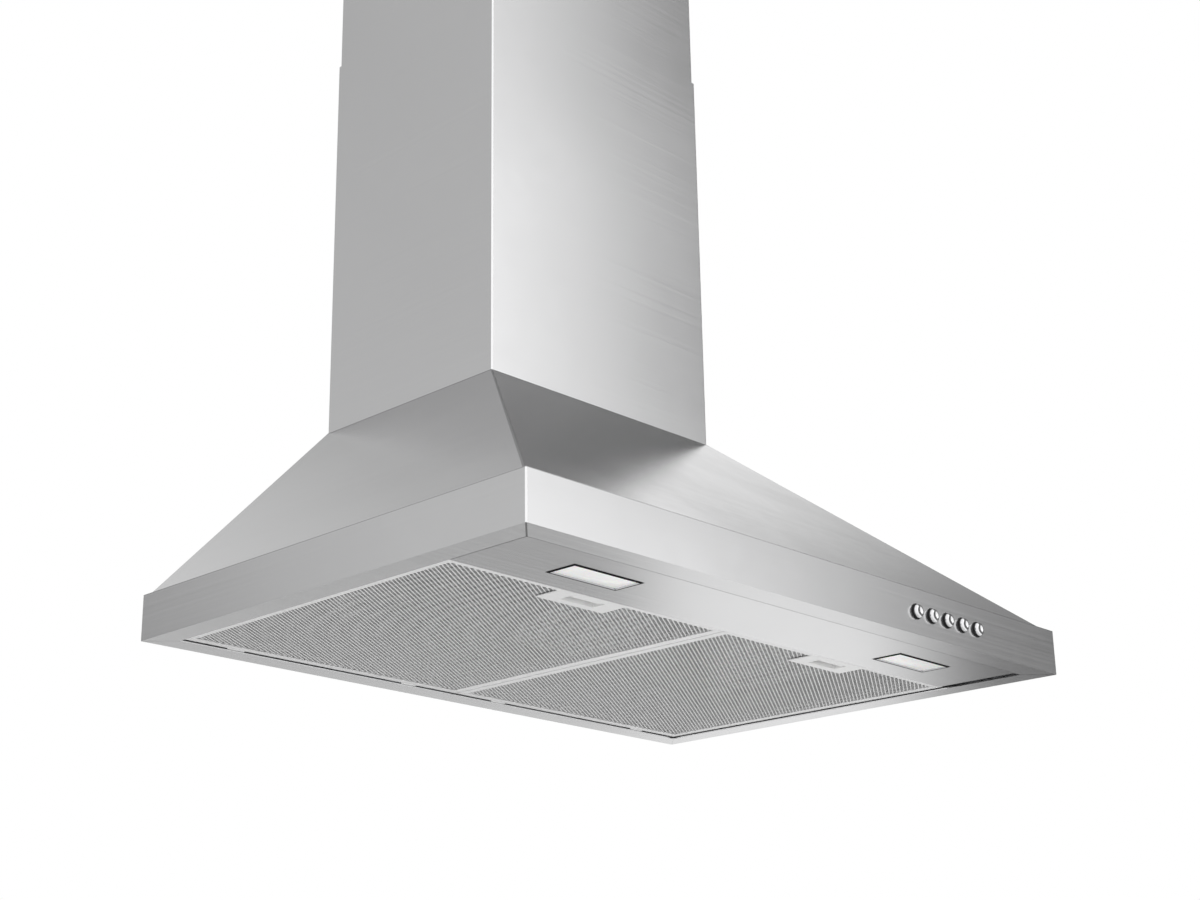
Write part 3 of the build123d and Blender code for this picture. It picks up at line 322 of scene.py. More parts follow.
def handling_marks():
    """Faint cloudy wipe marks that vary the gloss and the tone."""
    group, given, out = new_group(
        "Handling marks",
        [("Color", COLOUR, (0.7, 0.7, 0.7, 1.0)), ("Roughness", FLOAT, 0.3), ("Amount", FLOAT, 0.5)],
        [("Color", COLOUR), ("Roughness", FLOAT)])
    place = group.nodes.new("ShaderNodeTexCoord").outputs["Object"]
    cloud = add(group, "ShaderNodeTexNoise", Vector=place, Scale=5.0, Detail=3.0, Distortion=0.6)
    wipe = add(group, "ShaderNodeTexNoise", Vector=place, Scale=23.0, Detail=2.0, Distortion=1.5)
    mark = weighed(group, 0.7, cloud.outputs["Fac"], wipe.outputs["Fac"])
    swing = maths(group, "MULTIPLY", maths(group, "SUBTRACT", mark, 0.5), given["Amount"])
    tone = maths(group, "MULTIPLY_ADD", swing, 0.16, 1.0)
    group.links.new(toned(group, given["Color"], tone), out["Color"])
    rough = maths(group, "MULTIPLY_ADD", swing, -0.30, given["Roughness"])
    group.links.new(rough, out["Roughness"])
    return group


def zinc_spangle():
    """The crystal flowers of zinc coated sheet."""
    group, given, out = new_group(
        "Zinc spangle",
        [("Tint", COLOUR, (0.6, 0.6, 0.6, 1.0)), ("Depth", FLOAT, 0.2), ("Roughness", FLOAT, 0.4)],
        [("Color", COLOUR), ("Roughness", FLOAT), ("Height", FLOAT)])
    place = group.nodes.new("ShaderNodeTexCoord").outputs["Object"]
    bent = add(group, "ShaderNodeTexNoise", Vector=place, Scale=90.0, Detail=2.0)
    moved = vector_maths(group, "MULTIPLY", bent.outputs["Color"], (SPANGLE_WANDER,) * 3)
    shifted = vector_maths(group, "ADD", place, moved)
    flower = add(group, "ShaderNodeTexVoronoi", Vector=shifted, Scale=140.0)
    shade = add(group, "ShaderNodeSeparateXYZ", Vector=flower.outputs["Color"]).outputs["X"]
    swing = maths(group, "SUBTRACT", shade, 0.5)
    tone = maths(group, "MULTIPLY_ADD", swing, given["Depth"], 1.0)
    group.links.new(toned(group, given["Tint"], tone), out["Color"])
    rough = maths(group, "MULTIPLY_ADD", swing, 0.25, given["Roughness"])
    group.links.new(rough, out["Roughness"])
    group.links.new(shade, out["Height"])
    return group


def fine_skin():
    """The fine skin of moulded, painted and cast pieces."""
    group, given, out = new_group(
        "Fine skin",
        [("Tint", COLOUR, (0.5, 0.5, 0.5, 1.0)), ("Scale", FLOAT, 900.0), ("Depth", FLOAT, 0.1),
         ("Roughness", FLOAT, 0.4)],
        [("Color", COLOUR), ("Roughness", FLOAT), ("Height", FLOAT)])
    place = group.nodes.new("ShaderNodeTexCoord").outputs["Object"]
    grain = add(group, "ShaderNodeTexNoise", Vector=place, Scale=given["Scale"], Detail=3.0)
    cloud = add(group, "ShaderNodeTexNoise", Vector=place, Scale=35.0, Detail=2.0)
    both = weighed(group, 0.5, grain.outputs["Fac"], cloud.outputs["Fac"])
    swing = maths(group, "SUBTRACT", both, 0.5)
    tone = maths(group, "MULTIPLY_ADD", maths(group, "MULTIPLY", swing, given["Depth"]), 2.0, 1.0)
    group.links.new(toned(group, given["Tint"], tone), out["Color"])
    rough = maths(group, "MULTIPLY_ADD", swing, 0.3, given["Roughness"])
    group.links.new(rough, out["Roughness"])
    group.links.new(grain.outputs["Fac"], out["Height"])
    return group


# How far from a corner's edge the painted highlight is full, and where it ends
GLINT_REACH = (0.0007, 0.0016)
GLINT_TONE = 1.32


def corner_glint():
    """A painted highlight: a brighter line along the two upright front corners."""
    group, given, out = new_group(
        "Corner glint",
        [("Color", COLOUR, (0.7, 0.7, 0.7, 1.0)), ("Half", FLOAT, 0.1), ("Front", FLOAT, 0.0)],
        [("Color", COLOUR)])
    place = group.nodes.new("ShaderNodeTexCoord").outputs["Object"]
    spot = add(group, "ShaderNodeSeparateXYZ", Vector=place).outputs
    aside = maths(group, "SUBTRACT", maths(group, "ABSOLUTE", spot["X"]), given["Half"])
    before = maths(group, "SUBTRACT", spot["Y"], given["Front"])
    reach = maths(group, "MAXIMUM", maths(group, "ABSOLUTE", aside), maths(group, "ABSOLUTE", before))
    # Painted highlight: the colour brightened near each upright front corner
    shine = remap(group, reach, *GLINT_REACH, GLINT_TONE, 1.0)
    group.links.new(toned(group, given["Color"], shine), out["Color"])
    return group


def plan_line(tree, spot, start, end, width):
    """How near a point lies, seen from above, to a line mirrored about X = 0: 1 on it, 0 away."""
    along = (end - start).normalized()
    across = (-along.y, along.x, 0.0)
    flat = add(tree, "ShaderNodeCombineXYZ", X=maths(tree, "ABSOLUTE", spot["X"]), Y=spot["Y"]).outputs[0]
    away = vector_maths(tree, "DOT_PRODUCT", flat, across)
    offset = start.x * across[0] + start.y * across[1]
    off = maths(tree, "ABSOLUTE", maths(tree, "SUBTRACT", away, offset))
    return remap(tree, off, width * 0.4, width, 1.0, 0.0)


# Half widths of the canopy's lines, where they end, and how dark each one is; the fold's and the foot's
# darkening is painted shade
HIP_WIDTH = 0.0014
HIP_DARK = 0.5
MITRE_WIDTH = 0.0011
MITRE_DARK = 0.75
FOLD_REACH = (0.0003, 0.0010)
FOLD_SHADE = 0.34
FOOT_BELOW = (-0.0018, -0.0010)
FOOT_ABOVE = (0.0008, 0.0016)
FOOT_SHADE = 0.7
LINE_END = 0.0005
# How near a point lies to the canopy's side to count as on it
FLUSH = 0.0005
# How far below and above the lower chimney's foot the slopes' upper corners are looked for
NECK_REACH = (0.003, 0.001)


def seam_lines_and_shade():
    """Darker lines on the canopy: dark joint lines at the rim mitres, a darker line along each hip, and
    painted shade in the fold above the fascia and in the gap at the foot of the chimney.
    """
    group, given, out = new_group(
        "Seam lines and painted shade", [("Color", COLOUR, (0.7, 0.7, 0.7, 1.0))], [("Color", COLOUR)])
    place = group.nodes.new("ShaderNodeTexCoord").outputs
    spot = add(group, "ShaderNodeSeparateXYZ", Vector=place["Object"]).outputs
    up = add(group, "ShaderNodeSeparateXYZ", Vector=place["Normal"]).outputs["Z"]
    low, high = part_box("canopy_shell")
    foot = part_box("lower_chimney")[0].z
    points = [vert.co for vert in nodes["canopy_shell"].data.vertices]
    fold = max(point.z for point in points if point.x < low.x + FLUSH)
    corner = Vector((high.x, low.y, 0))
    shoulder = max(
        (point for point in points if foot - NECK_REACH[0] < point.z < foot + NECK_REACH[1]),
        key=lambda point: point.x - point.y)
    hip = plan_line(group, spot, corner, shoulder, HIP_WIDTH)
    slope = remap(group, spot["Z"], fold, fold + LINE_END, 0.0, 1.0)
    lines = maths(group, "MULTIPLY", maths(group, "MULTIPLY", hip, slope), HIP_DARK)
    # Painted shade in the fold above the fascia
    level = maths(group, "ABSOLUTE", maths(group, "SUBTRACT", spot["Z"], fold))
    fold_shade = maths(group, "MULTIPLY", remap(group, level, *FOLD_REACH, 1.0, 0.0), FOLD_SHADE)
    # Painted shade in the gap at the foot of the chimney
    above = remap(group, spot["Z"], *(shoulder.z + rise for rise in FOOT_BELOW), 0.0, FOOT_SHADE)
    below = remap(group, spot["Z"], *(shoulder.z + rise for rise in FOOT_ABOVE), 1.0, 0.0)
    foot_shade = maths(group, "MULTIPLY", above, below)
    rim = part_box("light_panel")[0].y
    mitre = plan_line(group, spot, corner, corner + Vector((-1, 1, 0)), MITRE_WIDTH)
    under = remap(group, up, -0.9, -0.8, 1.0, 0.0)
    near = remap(group, spot["Y"], rim, rim + LINE_END, 1.0, 0.0)
    edge = maths(group, "MULTIPLY", maths(group, "MULTIPLY", mitre, under), near)
    for line in (fold_shade, foot_shade, maths(group, "MULTIPLY", edge, MITRE_DARK)):
        lines = maths(group, "MAXIMUM", line, lines)
    group.links.new(toned(group, given["Color"], maths(group, "SUBTRACT", 1.0, lines)), out["Color"])
    return group


BUMP_DISTANCE = 0.0002


def finish(name, group, tint, roughness, depth, metallic=0.0, bump=0.0, marks=0.0, scale=None,
           corner=None, seams_and_shade=None, **constants):
    """A material: one effect group, optional marks, an optional painted highlight along the front corners,
    optional seam lines with painted shade, and the shader's own constants.
    """
    material = bpy.data.materials.new(name)
    material.use_nodes = True
    tree = material.node_tree
    shader = tree.nodes["Principled BSDF"]
    settings = {"Tint": (*tint, 1.0), "Depth": depth, "Roughness": roughness}
    if scale is not None:
        settings["Scale"] = scale
    effect = use_group(tree, group, **settings)
    colour = effect["Color"]
    rough = effect["Roughness"]
    if marks:
        marked = use_group(
            tree, bpy.data.node_groups["Handling marks"], Color=colour, Roughness=rough, Amount=marks)
        colour = marked["Color"]
        rough = marked["Roughness"]
    # A painted highlight along the piece's two upright front corners
    if corner:
        low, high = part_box(corner)
        colour = use_group(
            tree, bpy.data.node_groups["Corner glint"], Color=colour, Half=(high.x - low.x) / 2,
            Front=low.y)["Color"]
    # The canopy's seam lines, with painted shade in its fold and at the chimney's foot
    if seams_and_shade:
        colour = use_group(tree, seams_and_shade, Color=colour)["Color"]
    tree.links.new(colour, shader.inputs["Base Color"])
    tree.links.new(rough, shader.inputs["Roughness"])
    shader.inputs["Metallic"].default_value = metallic
    if bump:
        raised = add(
            tree, "ShaderNodeBump", Height=effect["Height"], Strength=bump, Distance=BUMP_DISTANCE)
        tree.links.new(raised.outputs["Normal"], shader.inputs["Normal"])
    for label, value in constants.items():
        shader.inputs[label.replace("_", " ")].default_value = value
    return material


MATERIALS = {}
# The inner mesh's aluminium at a tenth of its tone: painted shade for the layers deep in the filter
INNER_MESH_SHADE = 0.10


def steel_finishes(metal, grain):
    """The brushed steel of the canopy, the two chimney covers and the light panel."""
    steel = tuple(metal.steel)
    seams_and_shade = {"canopy_shell": seam_lines_and_shade()}
    # Each cover gets a painted highlight along its upright front corners, and the canopy its seam lines
    # with painted shade
    for key, name, cover in (
            ("canopy", "Canopy steel", "canopy_shell"),
            ("lower", "Lower cover steel", "lower_chimney"),
            ("upper", "Upper cover steel", "upper_chimney")):
        MATERIALS[key] = finish(
            name, grain, steel, metal.steel_roughness, metal.grain_depth, metallic=1.0, bump=0.03,
            marks=0.35, corner=cover, seams_and_shade=seams_and_shade.get(cover))
    MATERIALS["panel_steel"] = finish(
        "Panel steel", grain, steel, metal.steel_roughness - 0.04, metal.grain_depth, metallic=1.0,
        bump=0.03, marks=0.3)


def make_materials(metal):
    """Builds the effect groups and every finish of the hood."""
    grain = brushed_grain()
    handling_marks()
    corner_glint()
    spangle = zinc_spangle()
    skin = fine_skin()
    aluminium = tuple(metal.aluminium)
    # Painted shade: the inner mesh darkened to a tenth of the aluminium
    inner = tuple(channel * INNER_MESH_SHADE for channel in aluminium)
    steel_finishes(metal, grain)
    MATERIALS.update({
        "zinc": finish(
            "Zinc sheet", spangle, tuple(metal.zinc), roughness=0.42, depth=0.28, metallic=1.0,
            bump=0.05),
        "bright": finish(
            "Bright plate", skin, (0.72, 0.72, 0.73), roughness=0.22, depth=0.12, metallic=1.0,
            bump=0.03),
        "chrome": finish(
            "Chrome", skin, (0.86, 0.86, 0.87), roughness=0.09, depth=0.05, metallic=1.0, marks=0.3),
        "bezel": finish(
            "Bezel chrome", skin, (0.50, 0.50, 0.51), roughness=0.22, depth=0.06, metallic=1.0,
            marks=0.3),
        "aluminium": finish(
            "Filter aluminium", grain, aluminium, roughness=0.42, depth=0.07, metallic=0.75,
            bump=0.06, marks=0.4),
        "mesh": finish(
            "Filter mesh", skin, aluminium, roughness=0.46, depth=0.10, metallic=0.35, bump=0.04,
            scale=400.0),
        "inner_mesh": finish(
            "Inner filter mesh in painted shade", skin, inner, roughness=0.50, depth=0.14, metallic=0.8, bump=0.04,
            scale=400.0),
        "cast": finish(
            "Cast aluminium", skin, (0.66, 0.66, 0.67), roughness=0.45, depth=0.16, metallic=1.0,
            bump=0.15, scale=700.0),
        "handle": finish(
            "Handle satin", skin, (0.93, 0.93, 0.925), roughness=0.34, depth=0.05, metallic=0.25,
            bump=0.04, marks=0.4),
        # The lens's faint white glow is painted light that brightens it
        "lens": finish(
            "Frosted lens with painted glow", skin, (0.97, 0.965, 0.95), roughness=0.34, depth=0.03, bump=0.05,
            scale=1400.0, Subsurface_Weight=0.25, Subsurface_Scale=0.002, Coat_Weight=0.2,
            Emission_Color=(1.0, 1.0, 0.98, 1.0), Emission_Strength=0.12),
        "black": finish(
            "Black plastic", skin, (0.022, 0.022, 0.023), roughness=0.42, depth=0.25, bump=0.18,
            marks=0.3),
        # Near-black ring put where the gap round each lens lies in shade: painted shade
        "gap_shade": finish(
            "Lamp gap shade", skin, (0.02, 0.02, 0.021), roughness=0.8, depth=0.25, bump=0.1,
            Specular_IOR_Level=0.15),
        "white": finish(
            "White plastic", skin, (0.80, 0.80, 0.77), roughness=0.38, depth=0.05, bump=0.08,
            marks=0.3),
        "paint": finish(
            "Motor paint", skin, (0.035, 0.036, 0.04), roughness=0.34, depth=0.2, bump=0.22,
            marks=0.4, scale=260.0, Coat_Weight=0.3),
        "sheath": finish(
            "Lead sheath", skin, (0.16, 0.16, 0.165), roughness=0.55, depth=0.12, bump=0.12,
            marks=0.3),
    })


CAD_FINISHES = {
    "canopy": ("canopy_shell",),
    "lower": ("lower_chimney",),
    "upper": ("upper_chimney",),
    "panel_steel": ("light_panel",),
    "zinc": (
        "rear_panel", "hanger_doublers", "blower_wrap", "blower_side_left", "blower_side_right",
        "motor_bracket", "blower_deck", "outlet_collar", "collar_flange", "damper_flap_front",
        "damper_flap_rear", "chimney_bracket", "switch_bracket", "capacitor_clip"),
    "bright": (
        "panel_screws", "motor_bracket_screws", "deck_screws", "damper_rod", "motor_shaft",
        "wheel_nut", "chimney_screws"),
    "chrome": tuple("button_" + name for name in BUTTONS),
    "bezel": tuple("light_frame_" + side for side in SIDES),
    "aluminium": tuple("filter_" + side + "_frame" for side in SIDES) + ("run_capacitor",),
    "mesh": tuple("filter_" + side + "_net" for side in SIDES),
    "inner_mesh": tuple("filter_" + side + "_pleat" for side in SIDES),
    "cast": tuple("light_module_" + side for side in SIDES) + ("fan_wheel", "fan_blades"),
    "handle": tuple("filter_" + side + "_" + part for side in SIDES for part in ("handle", "latch")),
    "lens": tuple("light_lens_" + side for side in SIDES),
    "black": ("button_guides", "switch_body", "terminal_box", "terminal_box_cover", "cable_gland"),
    "white": ("terminal_block", "lamp_driver"),
    "paint": ("motor_body",),
    "sheath": ("motor_lead", "switch_lead", "lamp_lead"),
}


class HOOD_OT_finishes(bpy.types.Operator):
    """Gives each carried-over solid its finish"""
    bl_idname = "hood.finishes"
    bl_label = "Finishes"

    def execute(self, context):
        make_materials(context.scene.hood_metal)
        for finish_name, members in CAD_FINISHES.items():
            for member in members:
                mesh = nodes[member].data
                mesh.materials.clear()
                mesh.materials.append(MATERIALS[finish_name])
        unfinished = [name for name, solid in nodes.items() if not solid.data.materials]
        if unfinished:
            raise RuntimeError("no finish for " + ", ".join(unfinished))
        return {"FINISHED"}


# Buttons

# The dark skirt's reach in front of the fascia and behind it, and its softened rim
SKIRT_FRONT = 0.0022
SKIRT_BACK = 0.003
SKIRT_ROUND = 0.0003
SKIRT_FACE_SHARE = 0.95
CAP_ROUND = 0.0004
CAP_BACK_SHARE = 0.93
STEM_RADIUS = 0.0024
# The cap's outline from its rim inwards, as shares of its radius and of how proud it stands
DOME_SHARES = ((1.0, 0.62), (0.975, 0.76), (0.91, 0.88), (0.80, 0.965), (0.66, 1.0), (0.54, 0.985))
# The hollow in its face, as shares of its radius and of the dish's depth
HOLLOW_SHARES = ((0.36, 0.7), (0.16, 0.95), (0.0, 1.0))


def cap_profile(proud, radius, dish):
    """A domed cap with a shallow hollow, from its back in front of the fascia to its middle."""
    back = -SKIRT_FRONT
    dome = [(radius * out, -proud * up) for out, up in DOME_SHARES]
    hollow = [(radius * out, -proud + dish * down) for out, down in HOLLOW_SHARES]
    return [(0.0, back), (radius * CAP_BACK_SHARE, back), (radius, back - CAP_ROUND), *dome, *hollow]


def stem_profile(length):
    """The round stem behind the skirt."""
    return [(0.0, SKIRT_BACK), (STEM_RADIUS, SKIRT_BACK), (STEM_RADIUS, length), (0.0, length)]


def skirt_profile(radius):
    """The dark sleeve that carries the cap through the fascia."""
    return [
        (0.0, SKIRT_BACK), (radius, SKIRT_BACK), (radius, SKIRT_ROUND - SKIRT_FRONT),
        (radius * SKIRT_FACE_SHARE, -SKIRT_FRONT), (0.0, -SKIRT_FRONT),
    ]


class HOOD_OT_buttons(bpy.types.Operator):
    """Builds the five turned push buttons"""
    bl_idname = "hood.buttons"
    bl_label = "Buttons"

    def execute(self, context):
        controls = context.scene.hood_controls
        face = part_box("canopy_shell")[0].y
        inwards = Vector((0, 1, 0))
        for name in BUTTONS:
            button = "button_" + name
            low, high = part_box(button)
            centre = Vector(((low.x + high.x) / 2, face, (low.z + high.z) / 2))
            radius = (high.x - low.x) / 2
            made = bmesh.new()
            cap = cap_profile(face - low.y, radius, controls.dish)
            turned(made, cap, centre, inwards, controls.steps)
            turned(made, stem_profile(high.y - face), centre, inwards, controls.steps)
            piece_from(
                "push_" + button, made, button, MATERIALS["chrome"], (button,), smooth=True)
            skirt = bmesh.new()
            turned(skirt, skirt_profile(radius), centre, inwards, controls.steps)
            piece_from(
                "button_skirt_" + name, skirt, button, MATERIALS["black"], smooth=True)
        return {"FINISHED"}


# Filters

def diamond_sheet(low, high, width, depth):
    """A flat sheet of diamonds cut to a rectangle at the height of its lower corner."""
    made = bmesh.new()
    span = max((high.x - low.x) / width, (high.y - low.y) / depth)
    count = int(span * 2) + 4
    bmesh.ops.create_grid(made, x_segments=count, y_segments=count, size=count / 2)
    bmesh.ops.rotate(
        made, cent=(0, 0, 0), matrix=Matrix.Rotation(math.pi / 4, 3, "Z"), verts=made.verts)
    half = math.sqrt(0.5)
    middle = Vector(((low.x + high.x) / 2, (low.y + high.y) / 2, low.z))
    bmesh.ops.scale(made, vec=(width * half, depth * half, 1.0), verts=made.verts)
    bmesh.ops.translate(made, vec=middle, verts=made.verts)
    for spot, away in ((low, (-1, 0, 0)), (low, (0, -1, 0)), (high, (1, 0, 0)), (high, (0, 1, 0))):
        bmesh.ops.bisect_plane(
            made, geom=made.verts[:] + made.edges[:] + made.faces[:], dist=1e-7,
            plane_co=spot, plane_no=away, clear_outer=True)
    return made


def clear_pocket(made, low, high):
    """Leaves out the diamonds that reach into the finger pocket."""
    inside = [
        face for face in made.faces
        if any(low.x < vert.co.x < high.x and low.y < vert.co.y < high.y for vert in face.verts)
    ]
    bmesh.ops.delete(made, geom=inside, context="FACES")


def grow_strands(made, strand, thick, middle_z):
    """Turns the diamonds' edges into strands of the given width and height."""
    bmesh.ops.wireframe(
        made, faces=made.faces[:], thickness=strand, offset=0.0, use_replace=True,
        use_boundary=True, use_even_offset=False)
    shrink = Matrix.Diagonal((1.0, 1.0, thick / strand))
    bmesh.ops.translate(made, vec=(0, 0, -middle_z), verts=made.verts)
    bmesh.ops.transform(made, matrix=shrink, verts=made.verts)
    bmesh.ops.translate(made, vec=(0, 0, middle_z), verts=made.verts)


def fold_sheet(made, pitch, low_z, high_z):
    """Folds a flat mesh into zigzags between two heights, with the ridges along Y."""
    start = min(vert.co.x for vert in made.verts)
    for vert in made.verts:
        share = (vert.co.x - start) / pitch % 1.0
        vert.co.z += low_z + (high_z - low_z) * (1 - abs(2 * share - 1))


# Half the finger pocket with its walls, which the meshes stop at
POCKET_REACH = Vector((0.0226, 0.0091, 0))
# How far the face mesh's edge lies inside its solid's, under the frame
NET_INSET = Vector((0.0055, 0.0055, 0))
# Half the width that the latch's tongue needs in front of the pocket
TONGUE_WAY = 0.010
INNER_STRAND_SHARE = 1.3
FOLD_CLEARANCE = 0.0006
# Where the two wires lie, as shares of half the inner mesh's width
WIRE_SHARES = (0.58, 0.72)
WIRE_REACH = 0.0008
WIRE_ROUND = 0.0003


def face_mesh(name, pocket, sizes):
    """The fine flat mesh in a filter's face, open at the finger pocket."""
    low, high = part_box(name + "_net")
    level = (low.z + high.z) / 2
    made = diamond_sheet(
        Vector((low.x, low.y, level)) + NET_INSET, Vector((high.x, high.y, level)) - NET_INSET,
        sizes.diamond_width, sizes.diamond_depth)
    clear_pocket(made, pocket - POCKET_REACH, pocket + POCKET_REACH)
    grow_strands(made, sizes.strand, sizes.strand_height, level)
    piece_from(name + "_face_mesh", made, name, MATERIALS["mesh"], (name + "_net",))


def inner_mesh(name, pocket, sizes):
    """The coarser folded layers behind the face mesh, and the two wires that carry them."""
    low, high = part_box(name + "_pleat")
    scale = sizes.inner_scale
    made = diamond_sheet(
        Vector((low.x, low.y, 0)), Vector((high.x, high.y, 0)),
        sizes.diamond_width * scale, sizes.diamond_depth * scale)
    clear_pocket(made, pocket - POCKET_REACH, pocket + POCKET_REACH)
    tongue_way = [
        face for face in made.faces
        if abs(face.calc_center_median().x - pocket.x) < TONGUE_WAY
        and face.calc_center_median().y < pocket.y
    ]
    bmesh.ops.delete(made, geom=tongue_way, context="FACES")
    grow_strands(made, sizes.strand * INNER_STRAND_SHARE, sizes.strand_height, 0.0)
    fold_sheet(made, sizes.fold_pitch, low.z + FOLD_CLEARANCE, high.z - FOLD_CLEARANCE)
    outer = 1 if pocket.x > 0 else -1
    for share in WIRE_SHARES:
        middle = pocket.x + outer * share * (high.x - low.x) / 2
        softened_block(
            made, (middle - WIRE_REACH, low.y, low.z), (middle + WIRE_REACH, high.y, low.z + WIRE_REACH),
            WIRE_ROUND, 2)
    piece_from(
        name + "_inner_mesh", made, name, MATERIALS["inner_mesh"], (name + "_pleat",))


class HOOD_OT_filter_meshes(bpy.types.Operator):
    """Builds the fine face mesh and the folded inner mesh of both filters"""
    bl_idname = "hood.filter_meshes"
    bl_label = "Filter meshes"

    def execute(self, context):
        sizes = context.scene.hood_filters
        for side in SIDES:
            name = "filter_" + side
            pocket = sum(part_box(name + "_handle"), Vector()) / 2
            face_mesh(name, pocket, sizes)
            inner_mesh(name, pocket, sizes)
        return {"FINISHED"}


# Finger pulls

# The finger tab from its foot to its lip, as distances along it and up
TAB_PROFILE = (
    (0.0, 0.0), (0.0018, 0.0001), (0.0040, 0.0005), (0.0062, 0.0010), (0.0080, 0.0017),
    (0.0091, 0.0026), (0.0094, 0.0036),
)
TAB_FOOT = 0.003
TAB_SHEET = 0.0007
# The tongue's half width, its underside and top above the latch's lowest point, and how far it
# laps over the tab's foot
TONGUE_HALF = 0.008
TONGUE_LOW = 0.0025
TONGUE_HIGH = 0.0049
TONGUE_LAP = 0.002
TONGUE_ROUND = 0.0003


class HOOD_OT_finger_pulls(bpy.types.Operator):
    """Builds the curved finger tab and tongue of both latches"""
    bl_idname = "hood.finger_pulls"
    bl_label = "Finger pulls"

    def execute(self, context):
        for side in SIDES:
            low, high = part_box("filter_" + side + "_latch")
            half = (high.x - low.x) / 2
            middle = (low.x + high.x) / 2
            foot = high.y - TAB_FOOT
            made = bmesh.new()
            verts = [
                made.verts.new((middle - half, foot + along, low.z + rise)) for along, rise in TAB_PROFILE]
            edges = [made.edges.new(pair) for pair in zip(verts, verts[1:])]
            grown = bmesh.ops.extrude_edge_only(made, edges=edges)["geom"]
            moved = [item for item in grown if isinstance(item, bmesh.types.BMVert)]
            bmesh.ops.translate(made, vec=(2 * half, 0, 0), verts=moved)
            bmesh.ops.solidify(made, geom=made.faces[:], thickness=-TAB_SHEET)
            softened_block(
                made, (middle - TONGUE_HALF, low.y, low.z + TONGUE_LOW),
                (middle + TONGUE_HALF, foot + TONGUE_LAP, low.z + TONGUE_HIGH), TONGUE_ROUND, 2)
            piece_from("latch_tab_" + side, made, "latch_" + side,
                       MATERIALS["handle"], ("filter_" + side + "_latch",), smooth=True)
        return {"FINISHED"}


# Lamps

# How far a nearly upright wall leans in
LEAN = 0.0001
# The lamp frame: flat face, raised lip, bevel, inner wall and the flange that turns out at its top
FRAME_FACE = 0.0029
FRAME_LIP = 0.0006
FRAME_BEVEL = (0.0005, 0.0006)
FRAME_WALL = 0.0050
FRAME_FLANGE = 0.0006
FRAME_STEPS = (
    (FRAME_FACE, 0.0),
    (LEAN, -FRAME_LIP),
    (FRAME_BEVEL[0], FRAME_LIP + FRAME_BEVEL[1]),
    (LEAN, FRAME_WALL),
    (-FRAME_FLANGE, 0.0),
)
# The lens: how far it reaches past its solid aside and down, and its softened edge
LENS_ASIDE = 0.0007
LENS_DOWN = 0.0010
LENS_ROUND = 0.0003
# The dark ring of painted shade in the gap round each lens: how far inside the frame's outline it starts,
# its width, and its two edges' heights
GAP_SHADE_RIM = 0.0013
GAP_SHADE_WIDTH = 0.0014
GAP_SHADE_OUTER = 0.0006
GAP_SHADE_INNER = 0.0004
GAP_SHADE_STEPS = ((LEAN, -GAP_SHADE_OUTER), (GAP_SHADE_WIDTH, 0.0), (LEAN, GAP_SHADE_INNER))


def stepped_ring(low, high, steps):
    """A rectangular ring between two corners, stepped inwards by rows of (inset, depth)."""
    made = bmesh.new()
    verts = bmesh.ops.create_grid(made, x_segments=1, y_segments=1, size=0.5)["verts"]
    bmesh.ops.scale(made, vec=(high.x - low.x, high.y - low.y, 1.0), verts=verts)
    bmesh.ops.translate(
        made, vec=((high.x + low.x) / 2, (high.y + low.y) / 2, low.z), verts=verts)
    middle = made.faces[:]
    for inset, depth in steps:
        bmesh.ops.inset_region(
            made, faces=middle, thickness=inset, depth=0.0, use_boundary=True, use_even_offset=True)
        inner = {vert for face in middle for vert in face.verts}
        bmesh.ops.translate(made, vec=(0, 0, depth), verts=list(inner))
    bmesh.ops.delete(made, geom=middle, context="FACES")
    return made


class HOOD_OT_lamp_frames(bpy.types.Operator):
    """Builds the bevelled frame round each lamp"""
    bl_idname = "hood.lamp_frames"
    bl_label = "Lamp frames"

    def execute(self, context):
        for side in SIDES:
            low, high = FRAME_BOXES[side]
            made = stepped_ring(low + Vector((0, 0, FRAME_LIP)), high, FRAME_STEPS)
            piece_from("lamp_frame_" + side, made, "canopy", MATERIALS["bezel"],
                       ("light_frame_" + side,))
        return {"FINISHED"}


class HOOD_OT_lenses(bpy.types.Operator):
    """Builds the two frosted lenses with softened edges, and round each a dark ring of painted shade in
    the gap by its frame
    """
    bl_idname = "hood.lenses"
    bl_label = "Lenses"

    def execute(self, context):
        for side in SIDES:
            low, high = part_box("light_lens_" + side)
            edge = Vector((LENS_ASIDE, LENS_ASIDE, 0))
            drop = Vector((0, 0, LENS_DOWN))
            made = bmesh.new()
            softened_block(made, low - edge - drop, high + edge, LENS_ROUND)
            piece_from("lamp_lens_" + side, made, "canopy", MATERIALS["lens"],
                       ("light_lens_" + side,), smooth=True)
            outer, far = FRAME_BOXES[side]
            rim = Vector((GAP_SHADE_RIM, GAP_SHADE_RIM, 0))
            gap_shade = stepped_ring(outer + rim + Vector((0, 0, GAP_SHADE_OUTER)), far - rim, GAP_SHADE_STEPS)
            piece_from("lamp_gap_shade_" + side, gap_shade, "canopy", MATERIALS["gap_shade"])
        return {"FINISHED"}


# Stage

CAMERA_PLACE = (-1.34139, -1.50994, -0.58284)
CAMERA_TURN = math.radians(-43.62)
CAMERA_PITCH = math.radians(18.09)
CAMERA_SHIFT = (0.08, 0.04)
SENSOR_WIDTH = 36.0
NEAREST = 0.05


